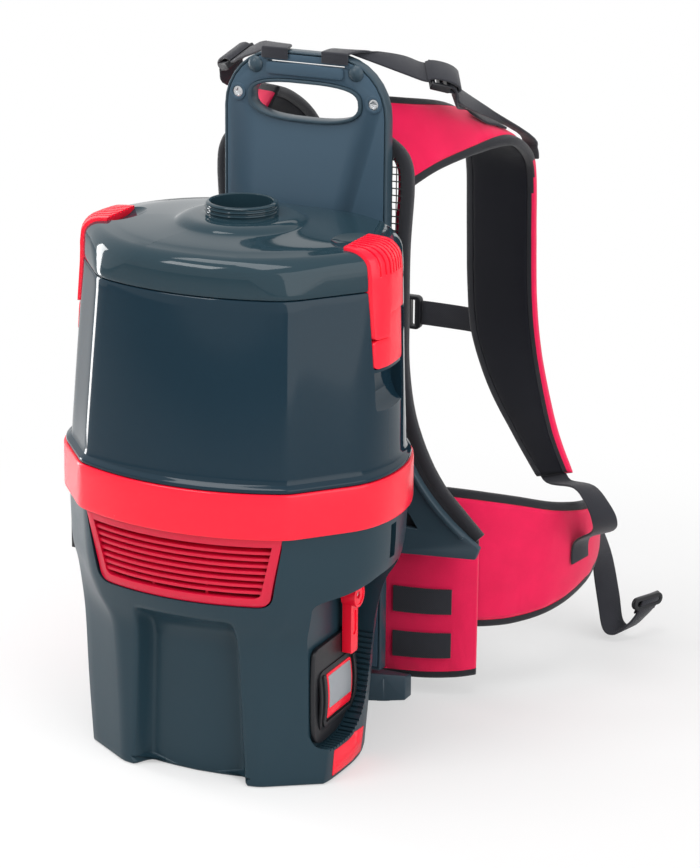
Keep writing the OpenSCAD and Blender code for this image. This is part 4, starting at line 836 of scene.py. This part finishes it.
# Rings pulled along a band, with cloth coordinates and a material for each part
def sewnBand(name, rings, kinds, materials):
    bm = bmesh.new()
    uvLayer = bm.loops.layers.uv.new("UVMap")
    loops = [startLoop(bm, [p * mm for p in rings[0]])]
    for ring in rings[1:]:
        loops.append(pullLoop(bm, loops[-1], [p * mm for p in ring]))
    count = len(rings[0])
    girth = [0]
    middle = rings[len(rings) // 2]
    for i in range(count):
        girth.append(girth[-1] + (middle[(i + 1) % count] - middle[i]).length * mm)
    along = 0
    for j in range(1, len(loops)):
        then, now = loops[j - 1], loops[j]
        before = along
        along += (sum(rings[j], Vector()) / count - sum(rings[j - 1], Vector()) / count).length * mm
        for i in range(count):
            k = (i + 1) % count
            face = bm.faces.get((then[i], then[k], now[k], now[i]))
            face.material_index = kinds[i]
            spots = {then[i]: (before, girth[i]), then[k]: (before, girth[i + 1]),
                     now[k]: (along, girth[i + 1]), now[i]: (along, girth[i])}
            for corner in face.loops:
                corner[uvLayer].uv = spots[corner.vert]
    for loop in (loops[0], loops[-1]):
        bm.faces.new(loop).material_index = 1 if len(materials) > 1 else 0
    return newMesh(name, bm, materials, 60)


# Padded band between two edges, bound along both, its cloth slightly puckered beside the binding
def paddedBand(name, a, b, thickness, share=None, redSide=-1, seed=0.0, puff=0.35):
    count = len(a)
    binding = harness["binding"]
    trim = [(0, 0.0), (0.35, 2.2), (1.2, 3.5), (3.0, 4.1), (binding - 0.8, 4.3), (binding, 4.15)]
    cloth = [0.02, 0.08, 0.18, 0.32, 0.5, 0.75, 1.0]
    rings, along = [], 0
    for i in range(count):
        p, q = at(a, i), at(b, i)
        width = (q - p).length
        across = (q - p).normalized()
        n = faceNormal(a, b, i)
        if i:
            along += (p + q - at(a, i - 1) - at(b, i - 1)).length / 2
        body = thickness / 2 * (share(i / (count - 1)) if share else 1)
        thin = min(1, body / 4.6)
        half = [(d, h * thin) for d, h in trim] + [(binding + 0.5, 3.7 * thin)]
        for s in cloth:
            d = binding + 0.5 + s * (width / 2 - binding - 0.5)
            half.append((d, body * (0.66 + 0.34 * math.sin(math.pi / 2 * s ** 0.55))))
        full = half + [(width - d, h) for d, h in half[-2::-1]]
        ring = []
        for sign in (1, -1):
            for d, h in full if sign > 0 else full[-2:0:-1]:
                near = min(d, width - d)
                spot = p + across * d + n * h * sign
                ripple = math.sin(along / 5.2 + seed + sign + (2.1 if d > width / 2 else 0))
                ripple += 0.6 * math.sin(along / 3.1 + 1.7 * sign + d * 0.1)
                lift = puff * ripple * math.exp(-max(near - binding, 0) / 6)
                lift *= 1 if near > binding + 0.2 else 0.15
                swell = 0.9 * noise.noise(spot * 0.021 + Vector((seed, 0, 0))) * min(near / 14, 1)
                ring.append(spot + n * sign * (lift + swell) * (0 if near == 0 else 1))
        rings.append(ring)

    # Two smaller rings past an end, which close it softly
    def closing(ring, i, inward):
        n = faceNormal(a, b, i)
        run = (at(a, i) + at(b, i) - at(a, inward) - at(b, inward)).normalized()
        middle = (at(a, i) + at(b, i)) / 2
        return [[v - n * ((v - middle).dot(n)) * (1 - squeeze) + run * grow for v in ring]
                for grow, squeeze in ((1.2, 0.72), (2.0, 0.3))]

    rings = closing(rings[0], 0, 1)[::-1] + rings + closing(rings[-1], count - 1, count - 2)
    edge = len(trim) - 1
    bound = [i < edge or i >= len(full) - 1 - edge for i in range(len(full) - 1)]
    outer, inner = (0, 2) if redSide > 0 else (2, 0)
    kinds = [1 if k else outer for k in bound] + [1 if k else inner for k in bound]
    return sewnBand(name, rings, kinds, [finish[k] for k in ("redCloth", "binding", "lining")])


# Flat woven strap along two edges, its ends heat cut
def webbingBand(name, edges, *nodes, steps=5):
    a, b = [smoothRow(row, steps) for row in edges]
    t = harness["webbing"] / 2
    rings = []
    for i in range(len(a)):
        p, q = at(a, i), at(b, i)
        across = (q - p).normalized()
        width = (q - p).length
        n = faceNormal(a, b, i)
        flat = [(0, 0), (0.25, t * 0.7), (1.0, t), (width / 2, t * 1.02), (width - 1.0, t),
                (width - 0.25, t * 0.7), (width, 0)]
        flat += [(d, -h) for d, h in flat[-2:0:-1]]
        rings.append([p + across * d + n * h for d, h in flat])
    piece = sewnBand(name, rings, [0] * len(rings[0]), [finish["webbing"]])
    fit(piece, "vacuum", "webbing", *nodes)


strap = {
    "inner": [
        (42, 156.65, 545), (66, 178, 541), (80, 212, 533), (77, 262, 515), (72, 300, 488), (70, 318, 455),
        (70, 322, 400), (72, 322, 340), (79, 318, 295), (103, 304, 250), (138, 284, 212), (166, 266, 186)],
    "outer": [
        (84, 156.65, 466), (98, 188, 478), (118, 225, 487), (138, 262, 492), (140, 300, 474),
        (138, 318, 450), (138, 322, 396), (140, 322, 338), (147, 316, 296), (161, 300, 262),
        (182, 276, 226), (202, 262, 196)],
    "steps": 18, "surface": 6.6, "redEdge": 5.3, "redTop": 480,
}
strapA, strapB = [smoothRow(strap[edge], strap["steps"]) for edge in ("inner", "outer")]
for side, label in sides:
    a, b = pairFor(side, strapA, strapB)
    piece = paddedBand("shoulder_pad_" + label, a, b, harness["strapThickness"],
                       lambda t: min(0.42 + t * 6, 0.76 + (1 - t) * 4, 1), seed=side * 1.3)
    for face in piece.data.polygons:
        spot = face.center / mm
        reach = min(strap["redEdge"], (strap["redTop"] - spot.z) / 10)
        if face.material_index == 1 and min((spot - p).length for p in b) < reach:
            face.material_index = 0
    fit(piece, "vacuum", "red_fabric", "shoulder_strap_" + label)

lumbarY = 155.8
wing = {
    "low": [
        (118, lumbarY + 17.6, 66), (140, lumbarY + 29.6, 62), (168, 208, 62), (192, 236, 68),
        (205, 271, 78), (206, 308, 88), (194, 344, 96)],
    "high": [
        (118, lumbarY + 18.6, 194), (140, lumbarY + 31.6, 190), (168, 211, 182), (192, 239, 172),
        (205, 273, 164), (206, 308, 158), (194, 344, 150)],
    "steps": 14, "surface": 7.2,
}
wingA, wingB = [smoothRow(wing[edge], wing["steps"]) for edge in ("low", "high")]
for side, label in sides:
    a, b = pairFor(side, wingA, wingB)
    piece = paddedBand("hip_pad_" + label, a, b, harness["wingThickness"], redSide=1, seed=side * 2.4,
                       puff=0.5)
    fit(piece, "vacuum", "red_fabric", "hip_wing_" + label)

lumbarLow = [Vector((x, lumbarY + y, 12 + 8 * (abs(x) / 150) ** 2)) for x, y in (
    (-146, 20), (-128, 9), (-96, 2), (-40, 0), (0, 0), (40, 0), (96, 2), (128, 9), (146, 20))]
lumbarHigh = [Vector((p.x, p.y, 148)) for p in lumbarLow]
lumbarA, lumbarB = smoothRow(lumbarLow, 14), smoothRow(lumbarHigh, 14)
lumbar = paddedBand("lumbar_cushion", lumbarA, lumbarB, harness["lumbarThickness"], redSide=1, seed=0.7,
                    puff=0.5)
fit(lumbar, "vacuum", "red_fabric", "lumbar_pad")

# Back pad: two long cushions with a hollow between them, narrower where the open net runs beside them
backPad = {"edge": [(34, 522), (60, 518), (80, 508), (91, 494), (94, 470), (91, 415), (91, 350), (92, 310),
                    (98, 270), (110, 236), (126, 208), (146, 186), (166, 166)],
           "netLow": 286, "netHigh": 502, "netInset": 11}
padFront = harness["padFront"]
padStations = [Vector((w, 0, z)) for w, z in backPad["edge"]]
padLine = smoothRow(padStations, 10)
padRings = []
for i, p in enumerate(padLine):
    beside = min(max((p.z - backPad["netLow"]) / 22, 0), 1) * min(max((backPad["netHigh"] - p.z) / 16, 0), 1)
    w = p.x - 10 - backPad["netInset"] * beside * beside * (3 - 2 * beside)
    thick = harness["padThickness"] * min(0.55 + i * 0.05, 0.55 + (len(padLine) - 1 - i) * 0.05, 1)
    ring = [Vector((w * s, padFront + 0.3, p.z)) for s in (-0.95, -0.7, -0.4, -0.13, 0.13, 0.4, 0.7, 0.95)]
    for s in (1, 1, 0.995, 0.97, 0.93, 0.87, 0.78, 0.66, 0.52, 0.38, 0.26, 0.17, 0.1, 0.045):
        depth = (1 - s ** 9) ** 0.34 * (1 - 0.3 * math.exp(-(s / 0.11) ** 2)) * (1 - 0.05 * math.cos(s * 5.2))
        y = padFront + max(thick * depth, 2.2 if len(ring) == 8 else 5.0)
        ring.append(Vector((w * s, y, p.z)))
    back = [Vector((-v.x, v.y, v.z)) for v in ring[:7:-1]]
    ring += [Vector((0, padFront + thick * 0.71, p.z))] + back
    padRings.append([v + Vector((0, 1.1 * noise.noise(v * 0.018), 0)) for v in ring])
backCushion = sewnBand("back_cushion", padRings, [0] * len(padRings[0]), [finish["spacer"]])
fit(backCushion, "vacuum", "black_padding", "back_pad")

# Binding and piping around the pad: distance in from its edge, and height above its front
bindingOutline = [
    (9.6, 0.6), (6, 0), (3, 0.2), (1, 1.6), (0.1, 4), (0, 6.5), (0.2, 9), (1.2, 11), (3, 12), (6, 12),
    (9.2, 11.2)]
pipingOutline = [(9, 11), (15.5, 11.2), (16.2, 11.8), (15.5, 12.4), (9, 12.4)]
leftStations = [Vector((-p.x, 0, p.z)) for p in padStations[::-1]]
edgeLine = smoothRow(leftStations + [Vector((0, 0, 523))] + padStations, 12)
bindingRings, pipingRings = [], []
for i, p in enumerate(edgeLine):
    run = (at(edgeLine, i + 1) - at(edgeLine, i - 1)).normalized()
    out = Vector((-run.z, 0, run.x))
    pucker = 1 + 0.03 * math.sin(i * 1.9) + 0.02 * math.sin(i * 0.83)
    bindingRings.append([p - out * d * pucker + Vector((0, padFront + 2 + y, 0)) for d, y in bindingOutline])
    pipingRings.append([p - out * d + Vector((0, padFront + y, 0)) for d, y in pipingOutline])
padBinding = sewnBand("pad_edge_binding", bindingRings, [0] * len(bindingOutline), [finish["binding"]])
fit(padBinding, "vacuum", "webbing", "pad_binding")
keep = [i for i, p in enumerate(edgeLine) if p.x > 0 and 272 < p.z < 512]
for side, label in sides:
    rings = [[Vector((v.x * side, v.y, v.z)) for v in ring[::side]] for ring in pipingRings[keep[0]:keep[-1]]]
    piping = sewnBand("pad_piping_" + label, rings, [0] * len(pipingOutline), [finish["redCloth"]])
    fit(piping, "vacuum", "red_fabric")


# Open net between the cushion and the binding
def netHalfWidth(z):
    return min(edgeLine, key=lambda p: abs(p.z - z) + (1000 if p.x < 0 else 0)).x


net = {"columns": 7, "first": 62.5, "pitch": 4.3, "rows": 36, "low": 284, "rise": 6.2, "height": 3.1}
netMesh = bmesh.new()
strands = []
for side in (1, -1):
    for k in range(net["columns"]):
        x = net["first"] + k * net["pitch"]
        strands.append([(side * min(x, netHalfWidth(z) - 7), z) for z in range(282, 508, 6)])
    for k in range(net["rows"]):
        z = net["low"] + k * net["rise"]
        strands.append([(side * x, z) for x in (60, 68, 76, netHalfWidth(z) - 7.5)])
yarn = [(-0.55, 0), (0, -0.5), (0.55, 0), (0, 0.5)]
for n, row in enumerate(strands):
    upright = abs(row[0][0] - row[-1][0]) < 20
    rings = []
    for i, (x, z) in enumerate(row):
        y = padFront + net["height"] + (0.35 if upright else -0.35) + 0.25 * math.sin(i * 2.0 + n)
        rings.append([Vector((x + d, y + dy, z) if upright else (x, y + dy, z + d)) * mm for d, dy in yarn])
    addLoft(netMesh, rings)
fit(newMesh("pad_side_net", netMesh, finish["netYarn"], 60), "vacuum", "black_padding", "back_pad")

# Load lifters: webbing over the frame's top, through a turned slide and down to the strap
slide = {"at": Vector((97, 185, 561)), "turn": (30, 15, 40), "half": 12.5}
turnX, turnY, turnZ = [Matrix.Rotation(math.radians(a), 3, axis) for a, axis in zip(slide["turn"], "XYZ")]
slideTurn = turnZ @ turnY @ turnX


def onSlide(along, side, lift=0.0):
    return slide["at"] + slideTurn @ Vector((along, side * slide["half"], lift))


def onStrap(u, k, lift):
    i = int(round(u / 2 * strap["steps"]))
    a, b = at(strapA, i), at(strapB, i)
    return a + (b - a) * k - faceNormal(strapA, strapB, i) * (strap["surface"] + lift)


def lifterEdge(x, side):
    start = [Vector(p) for p in ((x, 120.0, 577), (x, 119.9, 584.4), (x, 121.4, 585.9), (x + 4, 136, 586.1),
                                 (x + 16 - side * 4, 146 + side * 10, 583.5))]
    return start + [onSlide(-32, side) + Vector((0, 0, 3)), onSlide(-17, side, 1.2), onSlide(-9.4, side, 1.5)]


def lifterDown(side, u, k):
    return [onSlide(9.4, side), onSlide(13, side, -0.5), onSlide(16, side) - Vector((0, 0, 5)),
            onSlide(16, side) - Vector((2, -8, 22 + 4 * side)), onStrap(u, k, 4.6),
            onStrap(u + 0.5, k + 0.12, 2.6), onStrap(u + 0.9, k + 0.22, 2.0)]


lifterFold = [
    (-12, 2.6), (-8, 5.4), (-2, 6.4), (6, 6.2), (13, 4.6), (18, 1.8), (19.5, -1.0), (17, -3.8),
    (11, -4.9), (6, -4.4)]
lifterStrand = [(13, -3.2), (20, -7.5), (30, -17)]


def strandEdge(side, *spots):
    return [onSlide(x, side * 0.9, z) for x, z in lifterStrand] + [onStrap(*spot) for spot in spots]


# Sternum strap's edge, off the shoulder strap and across to its buckle
def chestEdge(u):
    a, b = onStrap(u, 0.4, 1.6), onStrap(u, 0.12, 1.6)
    return [a, b] + [Vector(p) for p in ((b.x - 18, b.y + 4, b.z), (36, b.y + 6, b.z), (22.3, b.y + 6, b.z))]


foldEdges = [[onSlide(x, side, z) for x, z in lifterFold] for side in (-1, 1)]
strandEdges = [strandEdge(-1, (7.4, 0.74, 6), (8.6, 0.78, 3.4), (9.4, 0.78, 2.6)),
               strandEdge(1, (7.2, 0.96, 6), (8.4, 1.0, 3.4), (9.2, 1.0, 2.6))]
for side, label in sides:
    overFrame = pairFor(side, lifterEdge(16, -1), lifterEdge(41, 1))
    webbingBand("lifter_loop_" + label, overFrame, "load_lifter_" + label)
    webbingBand("lifter_tail_" + label, pairFor(side, lifterDown(-1, 5.6, 0.34), lifterDown(1, 5, 0.62)))
    webbingBand("lifter_fold_" + label, pairFor(side, *foldEdges), steps=3)
    webbingBand("lifter_strand_" + label, pairFor(side, *strandEdges))
    chest = ["sternum_strap"] if side > 0 else []
    webbingBand("chest_strap_" + label, pairFor(side, chestEdge(16), chestEdge(15)), *chest)


# Lower straps, belt ends and their hems
def onWing(u, k, lift):
    i = int(round(u / 2 * wing["steps"]))
    a, b = at(wingA, i), at(wingB, i)
    return a + (b - a) * k + faceNormal(wingA, wingB, i) * (wing["surface"] + lift)


strapEndRun = (strapA[-1] - strapA[-6]).normalized()


def strapTip(k, d):
    return strapA[-1] * (1 - k) + strapB[-1] * k + strapEndRun * d


def wingTip(k):
    return wingA[-1] * (1 - k) + wingB[-1] * k


# The belt's webbing gives its first point twice, so it runs back 3 to 4 mm, mostly upwards, before it leaves
lower = {
    "a": [strapTip(0.15, -6), strapTip(0.15, 10), (212, 240, 188), (230, 226, 178), (236, 226, 164),
          (232, 236, 150), onWing(7, 0.62, 4), onWing(7, 0.4, 2.2)],
    "b": [strapTip(0.85, -6), strapTip(0.85, 10), (228, 252, 188), (247, 240, 178), (254, 242, 164),
          (248, 252, 150), onWing(8.3, 0.62, 4), onWing(8.3, 0.4, 2.2)],
}
belt = {
    "a": [wingTip(0.26), wingTip(0.26), (190, 360, 70), (196, 360, 34), (204, 354, 12), (214, 356, 8),
          (226, 364, 18), (232, 369, 28)],
    "b": [wingTip(0.72), wingTip(0.72), (200, 378, 84), (210, 378, 44), (216, 376, 16), (226, 378, 12),
          (236, 386, 22), (242, 392, 30)],
}
hem = {
    "a": [(231, 368, 26), (233.6, 370.2, 32.5), (235.2, 373.4, 38.5), (233.8, 376.8, 41), (231, 374.5, 36),
          (228.2, 371.5, 26)],
    "b": [(241.2, 391.4, 28), (243.4, 393.4, 34), (244.6, 396, 39.5), (242.2, 398, 42), (238.6, 395.6, 37.5),
          (236.5, 391.6, 28)],
}
for side, label in sides:
    webbingBand("lower_webbing_" + label, pairFor(side, **lower), "lower_strap_" + label)
    webbingBand("belt_webbing_" + label, pairFor(side, **belt), "hip_webbing_" + label)
    webbingBand("belt_hem_" + label, pairFor(side, **hem), steps=3)

# Patches of webbing on the lumbar pad's red face
patches = {"stations": ((5.62, 7.0), (2.38, 1.0)), "across": (0.16, 0.48), "width": 25 / 136,
           "surface": 7.2}
for n, (u0, u1) in enumerate(patches["stations"]):
    spots = [int(round((u0 + (u1 - u0) * t / 7) * 14)) for t in range(8)]
    for m, k in enumerate(patches["across"]):
        rows = []
        for share in (k, k + patches["width"]):
            rows.append([at(lumbarA, i) + (at(lumbarB, i) - at(lumbarA, i)) * share
                         + faceNormal(lumbarA, lumbarB, i) * patches["surface"] for i in spots])
        patched = ["lumbar_patches"] if n == m == 0 else []
        webbingBand("belt_patch_%d_%d" % (n, m), rows, *patched, steps=2)

# The carried-over solids that keep their shape, and the surface of each
carried = {
    "base_cover": "slate", "motor_deck": "slate", "main_filter": "paper", "filter_bag": "paper",
    "exhaust_filter": "seal", "motor_can": "steel", "motor_mounts": "black", "motor_stator": "copper",
    "motor_bearings": "steel", "fan_shroud": "steel", "control_board": "board", "battery_terminals": "brass",
    "catch_pin": "steel", "lid_seal": "seal", "impeller": "cast", "motor_shaft": "steel",
}
for node, surface in carried.items():
    paint(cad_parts[node], surface)

# Floor that the camera sees as white, with a soft shadow under the vacuum
print("setting the stage")
stageSet = {"floorSize": 14, "worldLight": 0.5, "shadowNear": 0.35, "shadowFar": 0.85, "shadowLift": 0.45}
white = (1, 1, 1, 1)
floorPaint = bpy.data.materials.new("pale_floor")
add, link = nodeMaker(floorPaint)
out = add("ShaderNodeOutputMaterial")
matt = add("ShaderNodeBsdfDiffuse", Color=(0.74, 0.74, 0.74, 1))
plain = add("ShaderNodeEmission", Color=white, Strength=1.0)
place = add("ShaderNodeTexCoord")
centre = add("ShaderNodeMapping", Location=(-0.02, -0.08, 0))
link(place, "Object", centre, "Vector")
length = add("ShaderNodeVectorMath", operation="LENGTH")
link(centre, "Vector", length, 0)
fade = add("ShaderNodeMapRange", interpolation_type="SMOOTHSTEP", **{
    "From Min": stageSet["shadowNear"], "From Max": stageSet["shadowFar"], "To Min": stageSet["shadowLift"]})
link(length, "Value", fade, "Value")
rays = add("ShaderNodeLightPath")
seen = add("ShaderNodeMath", operation="MULTIPLY")
link(rays, "Is Camera Ray", seen, 0)
link(fade, "Result", seen, 1)
blendFloor = add("ShaderNodeMixShader")
link(seen, 0, blendFloor, "Fac")
link(matt, "BSDF", blendFloor, 1)
link(plain, "Emission", blendFloor, 2)
link(blendFloor, "Shader", out, "Surface")
floorMesh = bmesh.new()
bmesh.ops.create_circle(floorMesh, cap_ends=True, segments=96, radius=stageSet["floorSize"] / 2)
floor = newMesh("studio_floor", floorMesh, floorPaint)
floor.data.transform(Matrix.Translation((0, 0, -0.0004)))
floor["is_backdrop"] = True

# World: dim for lighting, white to the camera, in gloss and through clear parts
world = bpy.data.worlds.new("studio")
scene.world = world
add, link = nodeMaker(world)
out = add("ShaderNodeOutputWorld")
rays = add("ShaderNodeLightPath")
seen = add("ShaderNodeMath", operation="MAXIMUM")
link(rays, "Is Camera Ray", seen, 0)
link(rays, "Is Glossy Ray", seen, 1)
seenToo = add("ShaderNodeMath", operation="MAXIMUM")
link(seen, 0, seenToo, 0)
link(rays, "Is Transmission Ray", seenToo, 1)
dim = add("ShaderNodeBackground", Color=white, Strength=stageSet["worldLight"])
bright = add("ShaderNodeBackground", Color=white, Strength=1.0)
mixer = add("ShaderNodeMixShader")
link(seenToo, 0, mixer, "Fac")
link(dim, 0, mixer, 1)
link(bright, 0, mixer, 2)
link(mixer, 0, out, "Surface")


def softbox(name, place, aim, size, power):
    lamp = bpy.data.lights.new(name, "AREA")
    lamp.shape = "RECTANGLE"
    lamp.size, lamp.size_y = size
    lamp.energy = power
    holder = bpy.data.objects.new(name, lamp)
    scene.collection.objects.link(holder)
    holder.location = place
    holder.rotation_euler = (Vector(aim) - Vector(place)).to_track_quat("-Z", "Y").to_euler()


softbox("left_strip", (-1.15, 0.16, 0.42), (0, 0, 0.36), (0.24, 0.8), 7)
softbox("front_key", (-1.2, -2.2, 2.4), (0, 0, 0.3), (1.4, 0.9), 42)
softbox("right_panel", (2.7, -0.9, 1.3), (0, 0, 0.25), (3.2, 2.8), 62)
softbox("top_light", (-0.2, -0.6, 3.0), (0, 0, 0.3), (2.4, 1.0), 46)

lens = bpy.data.cameras.new("photo_camera")
camera = bpy.data.objects.new("photo_camera", lens)
scene.collection.objects.link(camera)
forward = Vector((-0.3961, 0.8680, -0.2995)).normalized()
right = Vector((0.9084, 0.4179, 0.0096)).normalized()
up = right.cross(forward).normalized()
right = forward.cross(up).normalized()
turn = Matrix((right, up, -forward)).transposed()
camera.matrix_world = Matrix.Translation((1.1945, -2.3961, 1.1171)) @ turn.to_4x4()
lens.lens = 136.66
lens.sensor_width = 36
lens.clip_end = 60
scene.camera = camera
scene.view_settings.view_transform = "Standard"

low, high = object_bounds()
print("ready")
